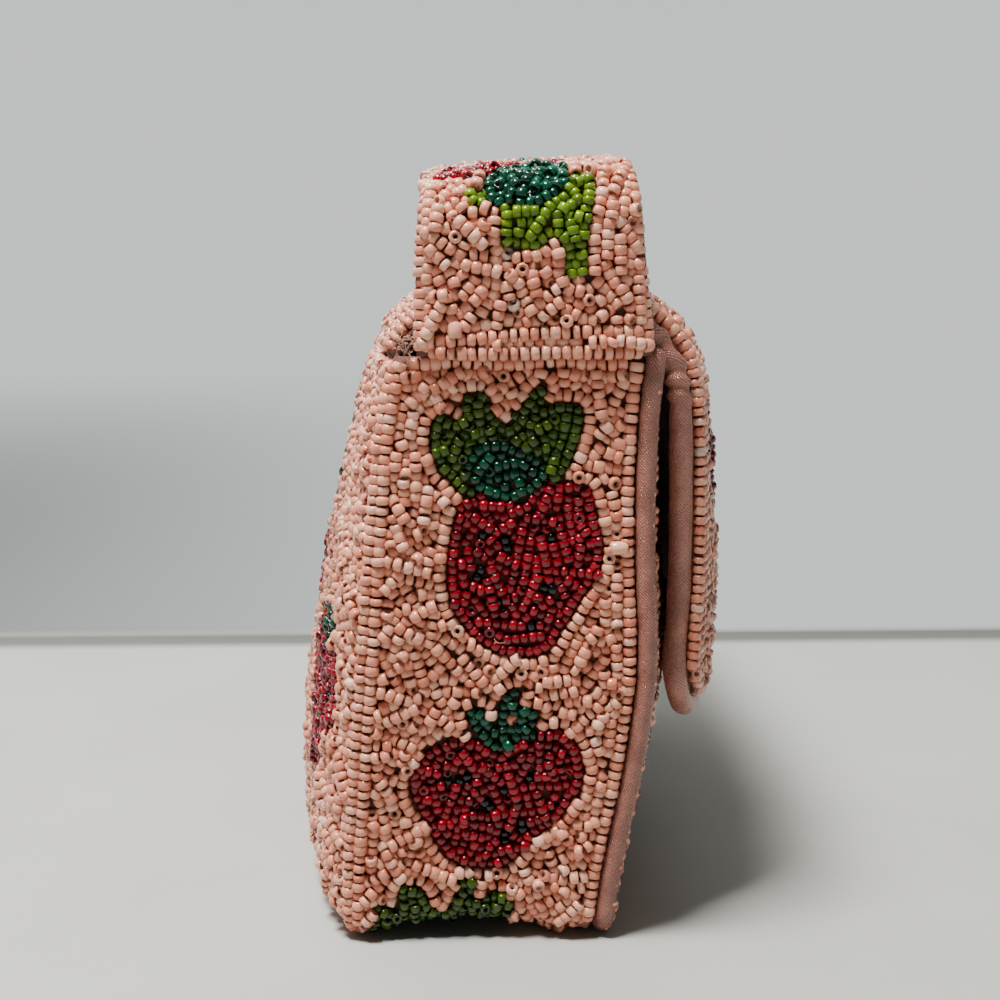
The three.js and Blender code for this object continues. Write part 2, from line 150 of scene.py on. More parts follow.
# A surface with a flat measure on it: t runs down its middle and s across it from its middle.
class Chart:
    def __init__(self, grid, outward, rows=160, columns=61):
        middle = lengths(grid[:, grid.shape[1] // 2])
        self.length = middle[-1]
        self.alongs = np.linspace(0, self.length, rows)
        even = np.empty((rows, grid.shape[1], 3))
        for i in range(grid.shape[1]):
            for k in range(3):
                even[:, i, k] = np.interp(self.alongs, middle, grid[:, i, k])
        self.widths = np.array([lengths(row)[-1] for row in even])
        points = np.stack([evenly(row, columns) for row in even])
        across = unit(np.gradient(points, axis=1))
        along = np.gradient(points, axis=0) / (self.length / (rows - 1))
        normal = unit(np.cross(across, along))
        if (normal[rows // 2, columns // 2] * outward).sum() < 0:
            normal = -normal
        stretch = np.linalg.norm(along, axis=2, keepdims=True)
        self.points, self.normals = points, normal
        self.table = np.concatenate([points, normal, across, unit(along), stretch], axis=2)

    def widthAt(self, t):
        return np.interp(t, self.alongs, self.widths)

    # Point, outward normal, unit vectors across and along, and how much longer t is in space.
    def at(self, s, t):
        rows, columns = self.table.shape[:2]
        j = np.clip(t / self.length, 0, 1) * (rows - 1)
        i = np.clip(s / self.widthAt(t) + 0.5, 0, 1) * (columns - 1)
        j0, i0 = np.minimum(j.astype(int), rows - 2), np.minimum(i.astype(int), columns - 2)
        fj, fi = (j - j0)[:, None], (i - i0)[:, None]
        a = self.table[j0, i0] * (1 - fi) + self.table[j0, i0 + 1] * fi
        b = self.table[j0 + 1, i0] * (1 - fi) + self.table[j0 + 1, i0 + 1] * fi
        row = a * (1 - fj) + b * fj
        normal = unit(row[:, 3:6])
        across, along = (
            unit(v - (v * normal).sum(1, keepdims=True) * normal) for v in (row[:, 6:9], row[:, 9:12])
        )
        return row[:, :3], normal, across, along, row[:, 12]


# A direction at an angle in the chart's two directions, and how long it comes out.
def slanted(angle, across, along):
    way = across * np.cos(angle)[:, None] + along * np.sin(angle)[:, None]
    size = np.linalg.norm(way, axis=1)
    return way / size[:, None], size


def inFrame(v, across, along):
    c = (across * along).sum(1)
    a, b = (v * across).sum(1), (v * along).sum(1)
    room = np.maximum(1 - c * c, 0.25)
    return (a - c * b) / room, (b - c * a) / room


# The sides and the bottom in one strip, from the near top edge to the far one.
def gussetPath(inset):
    z = np.linspace(bagHeight, cornerRadius, 90, endpoint=False)
    side = np.stack([halfLengthAt(z) - inset, z, np.ones_like(z), z * 0, z * 0, halfLengthAt(z), z], 1)
    turn = np.linspace(0, np.pi / 2, 16)
    cx, radius = halfLength - cornerRadius, cornerRadius - inset
    corner = np.stack(
        [
            cx + radius * np.cos(turn),
            cornerRadius - radius * np.sin(turn),
            np.cos(turn),
            -np.sin(turn),
            turn / (np.pi / 2),
            cx + cornerRadius * np.cos(turn),
            cornerRadius - cornerRadius * np.sin(turn),
        ],
        1,
    )
    x = np.linspace(cx, 0, 60)[1:]
    low = np.stack([x, x * 0 + inset, x * 0, x * 0 - 1, x * 0 + 1, x, x * 0], 1)
    half = np.concatenate([side, corner, low])
    near = half * [-1, 1, -1, 1, 1, -1, 1]
    return np.concatenate([near, half[-2::-1]])


def gussetGrid(inset, columns=41):
    path = gussetPath(inset)
    across = np.linspace(0, 1, columns)
    arch = np.interp(across, [0, 0.13, 0.3, 0.5, 0.7, 0.87, 1], [0, 0, 0.72, 1, 0.72, 0, 0])
    arch = np.convolve(np.pad(arch, 3, mode="edge"), np.ones(7) / 7, "valid")
    x, z, outX, outZ, low, seamX, seamZ = path.T
    back = seamY("back", seamX, seamZ) - clearance / 2
    front = seamY("front", seamX, seamZ) + clearance / 2
    lift = arch[None, :] * (sideDish + (bottomArch - sideDish) * low)[:, None]
    y = front[:, None] + (back - front)[:, None] * across[None, :]
    return np.stack([x[:, None] - outX[:, None] * lift, y, z[:, None] - outZ[:, None] * lift], 2)


def panelGrid(side, drop):
    ups = np.concatenate([np.linspace(0, 0.12, 24, endpoint=False), np.linspace(0.12, 1, 70)])
    z = (ups * (bagHeight - drop))[::-1][:, None]
    s = np.sin(np.linspace(-np.pi / 2, np.pi / 2, 121))[None, :]
    x = s * halfLengthAt(z)
    return np.stack([x, panelFaceY(side, x, z), z + x * 0], 2)


def throughKnots(knots, count):
    first, last = 2 * knots[0] - knots[1], 2 * knots[-1] - knots[-2]
    p = np.concatenate([[first], knots, [last]])
    gaps = np.sqrt(np.maximum(np.linalg.norm(np.diff(p, axis=0), axis=1), 1e-6))
    fine = []
    for k in range(1, len(p) - 2):
        d0, d1, d2 = gaps[k - 1], gaps[k], gaps[k + 1]
        m1 = ((p[k] - p[k - 1]) / d0 - (p[k + 1] - p[k - 1]) / (d0 + d1) + (p[k + 1] - p[k]) / d1) * d1
        m2 = ((p[k + 1] - p[k]) / d1 - (p[k + 2] - p[k]) / (d1 + d2) + (p[k + 2] - p[k + 1]) / d2) * d1
        t = np.linspace(0, 1, 17)[:, None]
        a, b = p[k], p[k + 1]
        h = (2 * t**3 - 3 * t**2 + 1) * a + (t**3 - 2 * t**2 + t) * m1
        fine.append(h + (-2 * t**3 + 3 * t**2) * b + (t**3 - t**2) * m2)
    return evenly(np.concatenate([fine[0][:1]] + [f[1:] for f in fine]), count)


# The flap from the back seam over the top and down the front. A share of 0.09 along it clears the seam.
def flapGrid(rows=110, columns=73):
    section = np.array(
        [
            (0, 0, 0, 1, 0, 0),
            (0.02, 0.27, 0, 0.84, 0, 0.1),
            (0.085, 0.6, 0, 0.6, 0, 0.35),
            (0.21, 0.82, 0, 0.3, 0, 0.8),
            (0.45, 0.88, 0, 0, 0, 1),
            (0.67, 0.86, 0, 0, 0.15, 1),
            (0.83, 0.68, 0, 0, 0.32, 0.9),
            (0.94, 0.13, 0, 0, 0.56, 0.4),
            (0.985, 0, 0.12, 0, 0.7, 0),
            (1, 0, 0.42, 0, 0.9, 0),
            (1, 0, 0.72, 0, 1, 0),
            (0.985, 0, 1, 0, 0.98, 0),
        ]
    )
    backY = panelRimY("back", halfLength, bagHeight)
    frontY = panelRimY("front", halfLength, bagHeight) - flapGap - liningWall - clearance - flapWall
    grid = []
    for x in flapHalf * np.sin(np.linspace(-np.pi / 2, np.pi / 2, columns)):
        share = x / flapHalf
        past = max(abs(x) - (flapHalf - lipRadius), 0)
        drop = flapDrop + lipDip * (1 - share**2) - lipRadius + math.sqrt(max(lipRadius**2 - past**2, 0))
        full = fullnessAt(share, flapFullness)
        backFull = fullnessAt(x / halfLength, fullness["back"])
        across, rise, down, back, front, crown = section.T
        y = backY + (frontY - backY) * across + back * 0.38 * swells["back"] * backFull
        y = y + front * swells["front"] * full
        z = bagHeight + clearance + rise * flapRise + crown * flapCrown * full - down * drop
        grid.append(throughKnots(np.stack([y * 0 + x, y, z], 1), rows))
    return np.stack(grid, 1)


# The strap's middle line, with its roll and how much wider it is at its feet.
strapWidth, strapWall, strapMiddle = 54, 5, gussetDepth * (0.252 - 0.735) / 2 - 2
flapTop = bagHeight + clearance + 0.88 * flapRise + flapCrown
lowLayer = flapTop + clearance + strapWall / 2
midLayer = lowLayer + 8
topLayer = midLayer + 15
strapFace = halfLength + 0.6


def strapRoute():
    route = []

    def span(x0, z0, x1, z1, hump, roll0, roll1, foot0=0.0, foot1=0.0, steps=60):
        for t in np.linspace(0, 1, steps, endpoint=False):
            lift = hump * math.sin(math.pi * t) ** 2
            roll = roll0 + (roll1 - roll0) * t
            route.append((x0 + (x1 - x0) * t, z0 + (z1 - z0) * t + lift, roll, foot0 + (foot1 - foot0) * t))

    def turn(x, z, radius, start, stop, roll):
        for a in np.linspace(start, stop, 24, endpoint=False):
            route.append((x + radius * math.cos(a), z + radius * math.sin(a), roll, 0))

    bend, farBend = 13, 12
    bendX, bendZ = -strapFace + bend, topLayer - bend
    farX, nearX, downX, downZ = halfLength - 14, -halfLength + 31, strapFace - farBend, lowLayer - farBend
    foot = bagHeight + clearance
    span(-strapFace, foot, -strapFace, bendZ, 0, 0, 1, 1, 0, 20)
    turn(bendX, bendZ, bend, np.pi, np.pi / 2, 1)
    span(bendX, topLayer, farX, topLayer, 4, 1, 0.5)
    turn(farX, midLayer + 7.5, 7.5, np.pi / 2, -np.pi / 2, 0.3)
    span(farX, midLayer, nearX, midLayer, 0, 0, 0)
    turn(nearX, lowLayer + 4, 4, np.pi / 2, 1.5 * np.pi, 0)
    span(nearX, lowLayer, downX, lowLayer, 0, 0, 0)
    turn(downX, downZ, farBend, np.pi / 2, 0, 0)
    span(strapFace, downZ, strapFace, foot, 0, 0, 0, 0, 1, 8)
    route.append((strapFace, foot, 0, 1))
    route = np.array(route)
    even = evenly(route, 421)
    for k in (2, 3):
        even[1:-1, k] = np.convolve(np.pad(even[:, k], 4, mode="edge"), np.ones(9) / 9, "valid")[1:-1]
    return even


# Its cross-section as pairs of the place across and the height off its middle line.
def strapGrid(section):
    route = strapRoute()
    run = unit(np.gradient(route[:, :2], axis=0))
    run[0], run[-1] = (0, 1), (0, -1)
    across, out = np.array(section, float).T
    along = lengths(route[:, :2])[:, None]
    pinch = 1 - 0.07 * np.exp(-(((along - 50) / 15) ** 2))
    y = across[None, :] * pinch - (0.5 - across[None, :] / strapWidth) * 3 * route[:, 3:4]
    x = route[:, 0:1] - run[:, 1:2] * out[None, :]
    z = route[:, 1:2] + run[:, 0:1] * out[None, :] - y * 0.08 * route[:, 2:3]
    return np.stack([x, strapMiddle + y, z], 2)


half = strapWidth / 2
edge = [(half - 1, -2.2), (half - 0.3, -1.1), (half - 1, 0.2), (half - 3, 1.4), (half - 6, 2.15)]
top = [(a, 2.5) for a in np.linspace(half - 10, -half + 10, 25)]
strapSection = edge + top + [(-a, h) for a, h in reversed(edge)]

charts = {
    "gusset": Chart(gussetGrid(0), (0, 0, -1), 330, 41),
    "back": Chart(panelGrid("back", 0), (0, 1, 0), 110, 121),
    "front": Chart(panelGrid("front", mouthDrop), (0, -1, 0), 110, 121),
    "flap": Chart(flapGrid(), (0, -1, 0.3), 120, 101),
    "strap": Chart(strapGrid(strapSection), (0, 0, 1), 420, 41),
}
# The strap's own sense of out is the first face's, which the near riser shows.
strapChart = charts["strap"]
if strapChart.normals[20, 20, 0] > 0:
    strapChart.normals *= -1
    strapChart.table[:, :, 3:6] *= -1
print("surfaces measured", {k: (round(c.length), round(float(c.widths.mean()))) for k, c in charts.items()})


# Strawberries, outlined in millimetres from the middle of the fruit, with the leaves at the top.
leafy = {
    "fruit": [
        (-15.2, 16.8), (-17.1, 11.7), (-18.3, 4.8), (-18.5, -2.2), (-16.7, -9.8), (-12.6, -16), (-8, -19.3),
        (-0.2, -21.3), (5.8, -19.9), (9, -14.7), (13.6, -7.1), (17.7, -0.6), (18.5, 4.6), (16.8, 13.4),
        (13.8, 20.8), (8.8, 21.3), (1.5, 20.9), (-12.1, 19.1),
    ],
    "leaf": [
        (-14.3, 17.7), (-18.4, 21.6), (-21.1, 24.6), (-23.3, 30.1), (-22.5, 37.3), (-16.7, 36), (-16.7, 42.3),
        (-11.5, 41.8), (-8.4, 36.8), (-4.8, 34.6), (-3, 39.1), (-0.3, 43.6), (1.9, 44.9), (1.7, 39.1),
        (6, 40.4), (11.4, 39), (11.2, 30.9), (8.8, 23.6), (6.1, 20.8), (1.5, 19), (-12.1, 18.2),
    ],
    "calyx": [
        (-13.8, 28.7), (-8.4, 31.4), (-3, 30), (1.5, 28.2), (4.7, 25.4), (4.7, 22.2), (1.5, 19), (-3, 16.7),
        (-7.5, 17.2), (-11.6, 19.1), (-13.9, 22.8), (-14.5, 26.4),
    ],
    "seeds": [(-10, 8.7), (-5, 7.5), (6.1, 7.9), (-10.3, 0.1), (-6.2, -7.7), (4.6, -4.3), (1.7, -13.7)],
}
heart = {
    "fruit": [
        (-16.3, 14.3), (-10.9, 16.4), (-5.6, 15.5), (-1.1, 12.9), (2.6, 14.5), (8.8, 17.9), (14.2, 18.3),
        (17.9, 15.3), (20.5, 9.6), (21.1, 4.4), (19.3, -0.4), (15.6, -6.5), (11, -10.4), (6.4, -16.6),
        (2.2, -18.3), (-3.6, -17.8), (-8.6, -16), (-12.8, -11), (-16.1, -5.3), (-20.2, 0.5), (-21.1, 5.7),
        (-19.6, 10.4),
    ],
    "calyx": [
        (-9, 22.9), (-5.2, 23.9), (-1.6, 18.9), (-1.4, 23.6), (-0.2, 28.2), (3, 28.9), (3, 24), (1.9, 18.9),
        (4.6, 23.4), (8.2, 23.2), (7.2, 18.9), (4.5, 15.5), (-0.2, 11.8), (-3.7, 14.8), (-8.2, 19.3),
    ],
    "seeds": [(-11.8, 4.9), (-7.1, 6), (8, 5.8), (2.2, 2.4), (-2.3, -0.8), (7.7, -6), (3.9, -9.2)],
}
# The one that hangs over the strap's near bend, its fruit on the top and its leaves on the riser.
hung = {
    "fruit": [
        (-22, 1), (-18, 3.5), (-9, 4), (-3, -2), (6, -3), (9, -6), (8, -16), (2, -27), (-8, -32), (-18, -30),
        (-25, -21), (-25, -9),
    ],
    "leaf": [
        (-14, 8.5), (-14, 13), (-7, 15), (-6.2, 24), (1, 25.2), (5.6, 23), (7.8, 26), (8.4, 32.5), (12, 33.5),
        (12.8, 25.5), (14.2, 17), (15, 7.5), (8, 5), (-3, 6),
    ],
    "calyx": [(-9.5, 12.5), (-9, 1), (-3, -4), (5, -4.5), (9, 2), (8.2, 10), (2.5, 15), (-4, 14.5)],
    "seeds": [(-14, -6), (-4, -12), (-16, -18), (-5, -24)],
}
kinds = ["pink", "fruit", "leaf", "calyx", "seed", "pearl"]
kindSize = [1.0, 0.86, 0.88, 0.88, 0.86, 0.98]
beadAcross, beadAlong = 3.35, 2.35
# Two discs stand for a bead: their radius, and how far they lie from its middle.
discRadius, discOff = 1.11, 0.53
# How near a loose bead's middle comes to a surface's sides and ends, and how deep a bead's middle lies.
sideRoom, endRoom, beadDepth = 3.1, 2.6, 1.75


# Each motif's shape, place (s, t), turn in degrees and scale. A turn of 0 has the leaves towards t = 0.
# The gusset's s runs to the back seam, so the near side's motifs are mirrored.
def gussetPlace(y, z):
    t = np.interp(-z, -charts["gusset"].points[:110, 20, 2], charts["gusset"].alongs[:110])
    row = charts["gusset"].points[int(round(t / charts["gusset"].length * 329))]
    return y - (row[0, 1] + row[-1, 1]) / 2, t


upperPlace, lowerPlace = gussetPlace(-15.7, 95), gussetPlace(-8.3, 36.8)
motifs = {
    "gusset": [
        (leafy, *upperPlace, 0, 1),
        (heart, *lowerPlace, 0, 1),
        (leafy, 2, 175, 0, 1),
        (heart, -3, 250, 90, 0.95),
        (leafy, 3, 325, 175, 0.9),
        (heart, 4, 403, 182, 1),
        (leafy, -2, 458, 178, 0.95),
    ],
    "back": [
        (heart, -77, 93, 6, 1.02),
        (leafy, -28, 66, -12, 0.95),
        (heart, 16, 116, 10, 0.95),
        (leafy, 60, 104, 14, 1),
        (heart, 48, 42, -10, 0.95),
        (heart, -24, 126, 16, 0.72),
        (heart, 90, 54, 16, 0.8),
    ],
    "front": [
        (heart, -86, 108, 6, 0.95),
        (heart, -26, 120, -10, 1),
        (leafy, 28, 112, 8, 0.9),
        (heart, 82, 116, -8, 0.95),
        (heart, -70, 40, 12, 0.9),
        (heart, 60, 42, -8, 0.9),
    ],
    "flap": [
        (heart, -70, 134, -8, 0.9),
        (leafy, -14, 126, 6, 1),
        (heart, 46, 100, 10, 1),
        (leafy, -40, 66, 12, 0.8),
        (leafy, 66, 44, -12, 0.8),
        (heart, 10, 62, -4, 0.85),
        (heart, 72, 142, -14, 0.8),
    ],
    "strap": [
        (hung, 0, 50, 0, 1),
        (heart, 6, 138, 12, 0.95),
        (leafy, 4, 205, -10, 0.95),
        (heart, -3, 275, 8, 0.95),
        (leafy, 3, 345, 0, 0.9),
        (heart, 0, 415, 6, 0.95),
        (leafy, -3, 480, 0, 0.9),
        (heart, 2, 545, 8, 0.95),
        (leafy, 3, 608, 176, 0.85),
    ],
}
mirrored = {"gusset"}


# Motif outlines to the chart and back. Leaves point to t = 0 unless the motif is turned.
def toChart(local, motif, flip):
    _, s0, t0, turn, scale = motif
    a = math.radians(turn)
    x, y = np.asarray(local, float).T * scale
    u, v = x * math.cos(a) - y * math.sin(a), x * math.sin(a) + y * math.cos(a)
    return np.stack([s0 + flip * u, t0 - v], 1)


def fromChart(points, motif, flip):
    _, s0, t0, turn, scale = motif
    a = math.radians(turn)
    u, v = flip * (points[:, 0] - s0), t0 - points[:, 1]
    x, y = u * math.cos(a) + v * math.sin(a), -u * math.sin(a) + v * math.cos(a)
    return np.stack([x, y], 1) / scale


def inside(points, outline):
    x, y = points.T
    hit = np.zeros(len(points), bool)
    outline = np.asarray(outline, float)
    for (x0, y0), (x1, y1) in zip(outline, np.roll(outline, -1, axis=0)):
        crosses = (y0 > y) != (y1 > y)
        at = x0 + (y - y0) * (x1 - x0) / (y1 - y0 if y1 != y0 else 1e-9)
        hit ^= crosses & (x < at)
    return hit


def regionAt(name, s, t):
    region = np.zeros(len(s), int)
    points = np.stack([s, t], 1)
    flip = -1 if name in mirrored else 1
    for motif in motifs[name]:
        local = fromChart(points, motif, flip)
        for part, kind in (("fruit", 1), ("leaf", 2), ("calyx", 3)):
            if part in motif[0]:
                region[inside(local, motif[0][part])] = kind
    return region


# Pairs of points closer than a reach, found on a grid of cells.
def nearPairs(points, reach):
    cells = np.floor(points / reach).astype(np.int64)
    cells -= cells.min(0) - 1
    size = cells.max(0) + 2
    key = (cells[:, 0] * size[1] + cells[:, 1]) * size[2] + cells[:, 2]
    order = np.argsort(key, kind="stable")
    ordered = key[order]
    firsts, seconds = [], []
    for dx in (-1, 0, 1):
        for dy in (-1, 0, 1):
            for dz in (-1, 0, 1):
                if (dx, dy, dz) < (0, 0, 0):
                    continue
                target = key + (dx * size[1] + dy) * size[2] + dz
                low, high = (np.searchsorted(ordered, target, end) for end in ("left", "right"))
                n = high - low
                a = np.repeat(np.arange(len(points)), n)
                b = order[np.repeat(low, n) + np.arange(n.sum()) - np.repeat(np.cumsum(n) - n, n)]
                if (dx, dy, dz) == (0, 0, 0):
                    a, b = a[a < b], b[a < b]
                near = ((points[a] - points[b]) ** 2).sum(1) < reach * reach
                firsts.append(a[near])
                seconds.append(b[near])
    return np.concatenate(firsts), np.concatenate(seconds)


# A row of touching beads along a line in the chart: (s, t, direction) for each.
def rowAlong(chart, line, pitch):
    line = np.asarray(line, float)
    along = lengths(chart.at(line[:, 0], line[:, 1])[0])
    count = max(int(round(along[-1] / pitch)), 1)
    at = (np.arange(count) + 0.5) / count * along[-1]
    s, t = (np.interp(at, along, line[:, k]) for k in (0, 1))
    ends = [[np.interp(at + off, along, line[:, k]) for k in (0, 1)] for off in (0.8, -0.8)]
    way = chart.at(*ends[0])[0] - chart.at(*ends[1])[0]
    u, v = inFrame(way, *chart.at(s, t)[2:4])
    return np.stack([s, t, np.arctan2(v, u)], 1)


# The line down a chart that keeps one x.
def lineAtX(chart, x):
    share = np.linspace(-0.5, 0.5, chart.points.shape[1])
    s = np.array([np.interp(x, row[:, 0], share) * width for row, width in zip(chart.points, chart.widths)])
    return np.stack([s, chart.alongs], 1)[1:-1]


# The straight rows that finish each piece's edges.
def edgeRows(name):
    chart = charts[name]
    inset = 1.75
    rows = []
    t = np.linspace(1.2, chart.length - 1.2, 400)
    for side in (-1, 1):
        if name == "flap":
            for off in (1.5, 4.6, 7.8):
                rows.append(lineAtX(chart, side * (flapHalf - off)))
        else:
            rows.append(np.stack([side * (chart.widthAt(t) / 2 - inset), t], 1))
    if name in ("back", "front"):
        t0 = chart.length - 1.6
        w = chart.widthAt(t0) / 2 - 5
        rows.append(np.stack([np.linspace(-w, w, 200), np.full(200, t0)], 1))
    if name in ("front", "flap"):
        t0 = 1.6 if name == "front" else chart.length - 1.7
        w = chart.widthAt(t0) / 2 - 4
        rows.append(np.stack([np.linspace(-w, w, 200), np.full(200, t0)], 1))
    if name == "strap":
        s = np.linspace(-chart.widths[0] / 2 + 5, chart.widths[0] / 2 - 5, 100)
        rows.append(np.stack([s, 0.9 + 0.15 * np.sin(s / 6)], 1))
        rows.append(np.stack([s, 4.9 + 0.03 * s + 0.5 * np.sin(s / 9 + 1)], 1))
        rows.append(np.stack([s, s * 0 + chart.length - 0.9], 1))
    if name == "gusset":
        for t0 in (1.5, chart.length - 1.5):
            w = chart.widthAt(t0) / 2 - 4
            rows.append(np.stack([np.linspace(-w, w, 200), t0 + 0.3 * np.sin(np.linspace(0, 14, 200))], 1))
    return rows


# A string that would cross into another colour is cut shorter.
def fitToRegion(name, strings):
    s, t, angle, count, region = (strings[key] for key in ("s", "t", "angle", "count", "region"))
    pitch = beadAlong * np.array(kindSize)[region]
    for n in (5, 4, 3, 2):
        ends = []
        for side in (-1, 1):
            off = side * (count - 1) / 2 * pitch
            ends.append(regionAt(name, s + off * np.cos(angle), t + off * np.sin(angle)) == region)
        count = np.where((count == n) & ~(ends[0] & ends[1]), n - 1, count)
    strings["count"] = count


# Places with room for one more bead, the roomiest first.
def findGaps(name, chart, discs, room, rng):
    step = 0.85
    t = np.arange(2.4, chart.length - 2.4, step)
    s = np.arange(-chart.widths.max() / 2, chart.widths.max() / 2, step)
    s, t = (v.ravel() for v in np.meshgrid(s, t))
    s, t = s + rng.uniform(-0.3, 0.3, len(s)), t + rng.uniform(-0.3, 0.3, len(t))
    keep = np.abs(s) < chart.widthAt(t) / 2 - endRoom
    s, t = s[keep], t[keep]
    at = chart.at(s, t)[0]
    both = np.concatenate([at, discs])
    a, b = nearPairs(both, room)
    blocked = np.zeros(len(s), bool)
    low, high = np.minimum(a, b), np.maximum(a, b)
    cross = (low < len(s)) & (high >= len(s))
    low, high = low[cross], high[cross]
    wanted = room * np.where(regionAt(name, s, t) > 0, 0.87, 1)
    blocked[low[np.linalg.norm(both[low] - both[high], axis=1) < wanted[low]]] = True
    s, t, at = s[~blocked], t[~blocked], at[~blocked]
    if not len(s):
        return np.zeros((0, 2))
    a, b = nearPairs(at, 2.5)
    order = rng.permutation(len(s))
    taken = np.zeros(len(s), bool)
    near = [[] for _ in range(len(s))]
    for i, j in zip(a.tolist(), b.tolist()):
        near[i].append(j)
        near[j].append(i)
    for i in order.tolist():
        if not any(taken[j] for j in near[i]):
            taken[i] = True
    return np.stack([s[taken], t[taken]], 1)


# Each bead is two discs side by side across its thread. Discs of different strings push each other away.
def pushApart(chart, strings, fixed, steps):
    s, t, angle, count, region = (strings[key] for key in ("s", "t", "angle", "count", "region"))
    pitch = beadAlong * np.array(kindSize)[region]
    owner = np.repeat(np.arange(len(s)), count)
    place = np.arange(len(owner)) - np.repeat(np.cumsum(count) - count, count)
    off = (place - (count[owner] - 1) / 2) * pitch[owner]
    beads, fixedCount = len(owner), len(fixed)
    size = np.array(kindSize)[np.concatenate([region[owner], fixed[:, 3].astype(int)])]
    ids = np.concatenate([owner, len(s) + np.arange(fixedCount)])
    n = beads + fixedCount
    lateral = discOff * size
    radius = discRadius * np.concatenate([size, size])
    movable = np.tile(np.arange(n) < beads, 2)
    discId = np.concatenate([ids, ids])
    who = discId[movable]
    for step in range(steps + 1):
        middle, up, a0, b0, grow = chart.at(s, t)
        grow = np.maximum(grow, 0.2)
        way, long0 = slanted(angle, a0, b0)
        bs = s[owner] + off * (np.cos(angle) / long0)[owner]
        bt = t[owner] + off * (np.sin(angle) / long0 / grow)[owner]
        allS, allT = np.concatenate([bs, fixed[:, 0]]), np.concatenate([bt, fixed[:, 1]])
        allA = np.concatenate([angle[owner], fixed[:, 2]])
        point, normal, across, along, stretch = chart.at(allS, allT)
        thread = slanted(allA, across, along)[0]
        sideways = np.cross(normal, thread)
        reach = sideways * lateral[:, None]
        discs = np.concatenate([point + reach, point - reach])
        if step == steps:
            break
        if step % 6 == 0:
            a, b = nearPairs(discs, 2.9)
            loose = (discId[a] != discId[b]) & (movable[a] | movable[b])
            pairs = (a[loose], b[loose])
        a, b = pairs
        gap = discs[a] - discs[b]
        distance = np.linalg.norm(gap, axis=1)
        overlap = radius[a] + radius[b] - distance
        hit = overlap > 0
        a, b, overlap = a[hit], b[hit], overlap[hit]
        apart = gap[hit] / np.maximum(distance[hit], 1e-6)[:, None]
        both = movable[a].astype(float) + movable[b]
        push = np.zeros((2 * n, 3))
        for axis in range(3):
            push[:, axis] += np.bincount(a, apart[:, axis] * overlap * movable[a] / both, 2 * n)
            push[:, axis] -= np.bincount(b, apart[:, axis] * overlap * movable[b] / both, 2 * n)
        touched = np.bincount(a, minlength=2 * n) + np.bincount(b, minlength=2 * n)
        # The edges hold the strings in.
        past = np.maximum(np.abs(allS) - (chart.widthAt(allT) / 2 - sideRoom), 0)
        ends = np.maximum(endRoom - allT, 0) - np.maximum(allT - chart.length + endRoom, 0)
        hold = ends[:, None] * along - (np.sign(allS) * past)[:, None] * across
        push = (push + np.concatenate([hold, hold]))[movable]
        hits = (touched + np.tile((past > 0) | (ends != 0), 2))[movable]
        force = np.stack([np.bincount(who, push[:, k], len(s)) for k in range(3)], 1)
        share = 0.9 / np.maximum(np.bincount(who, hits, len(s)), 1)
        ds, dt = inFrame(force * share[:, None], a0, b0)
        arm = discs[movable] - middle[who]
        torque = np.bincount(who, (np.cross(arm, push) * up[who]).sum(1), len(s))
        inertia = np.bincount(who, (arm * arm).sum(1) * (hits > 0), len(s))
        swing = np.clip(0.9 * torque / np.maximum(inertia, 0.5), -0.25, 0.25)[:, None]
        u, v = inFrame(way * np.cos(swing) + np.cross(up, way) * np.sin(swing), a0, b0)
        s, t, angle = s + ds, t + dt / grow, np.arctan2(v, u)
    strings["s"], strings["t"], strings["angle"] = s, t, angle
    return {
        "owner": owner, "ids": ids, "size": size, "discs": discs, "thread": thread, "sideways": sideways,
        "places": (allS, allT, allA, point, normal, across, along),
    }


# The beads that lie where they are put: the edge rows, the seeds, and rows along both sides of every outline.
# For each: s, t, direction, kind, how deep it sinks and how much bigger it is.
def fixedBeads(name, rng):
    chart = charts[name]
    flip = -1 if name in mirrored else 1
    fixed = []

    def addFixed(s, t, angle, kind, sink, bulk=1.0):
        if (np.abs(s) > chart.widthAt(t) / 2 - 1.2) | (t < 0.5) | (t > chart.length - 0.5):
            return
        for other in fixed[::-1]:
            if (other[0] - s) ** 2 + (other[1] - t) ** 2 < 4.4 * kindSize[kind] ** 2:
                return
        fixed.append((s, t, angle, kind, sink, bulk))

    rowBeads = np.concatenate([rowAlong(chart, line, 2.45) for line in edgeRows(name)])
    for s, t, angle in rowBeads:
        addFixed(s, t, angle + rng.normal(0, 0.05), 0, -0.1, 1.08)
    for motif in motifs[name]:
        shape = motif[0]
        for seedAt in toChart(shape["seeds"], motif, flip):
            turn = rng.uniform(0, np.pi)
            addFixed(*seedAt, turn, 4, 0.35)
            if rng.random() < 0.55:
                addFixed(seedAt[0] + 2.1 * math.cos(turn), seedAt[1] + 2.1 * math.sin(turn), turn, 4, 0.35)
        for kind, part in ((3, "calyx"), (2, "leaf"), (1, "fruit")):
            if part not in shape:
                continue
            outline = toChart(shape[part], motif, flip)
            fine = throughKnots(np.concatenate([outline[-1:], outline, outline[:2]]), 500)
            tangent = unit(np.gradient(fine, axis=0))
            aside = np.stack([-tangent[:, 1], tangent[:, 0]], 1)
            inward = 1 if inside(fine + aside * 0.3, outline).mean() > 0.5 else -1
            for offset, want, pitch in ((1.3 * inward, kind, 2.08), (-1.8 * inward, 0, 2.35)):
                for s, t, angle in rowAlong(chart, fine + aside * offset, pitch):
                    if regionAt(name, np.array([s]), np.array([t]))[0] == want and rng.random() < 0.93:
                        s, t = s + rng.normal(0, 0.13), t + rng.normal(0, 0.13)
                        addFixed(s, t, angle + rng.normal(0, 0.13), want, rng.normal(0, 0.2))
    return np.array(fixed)


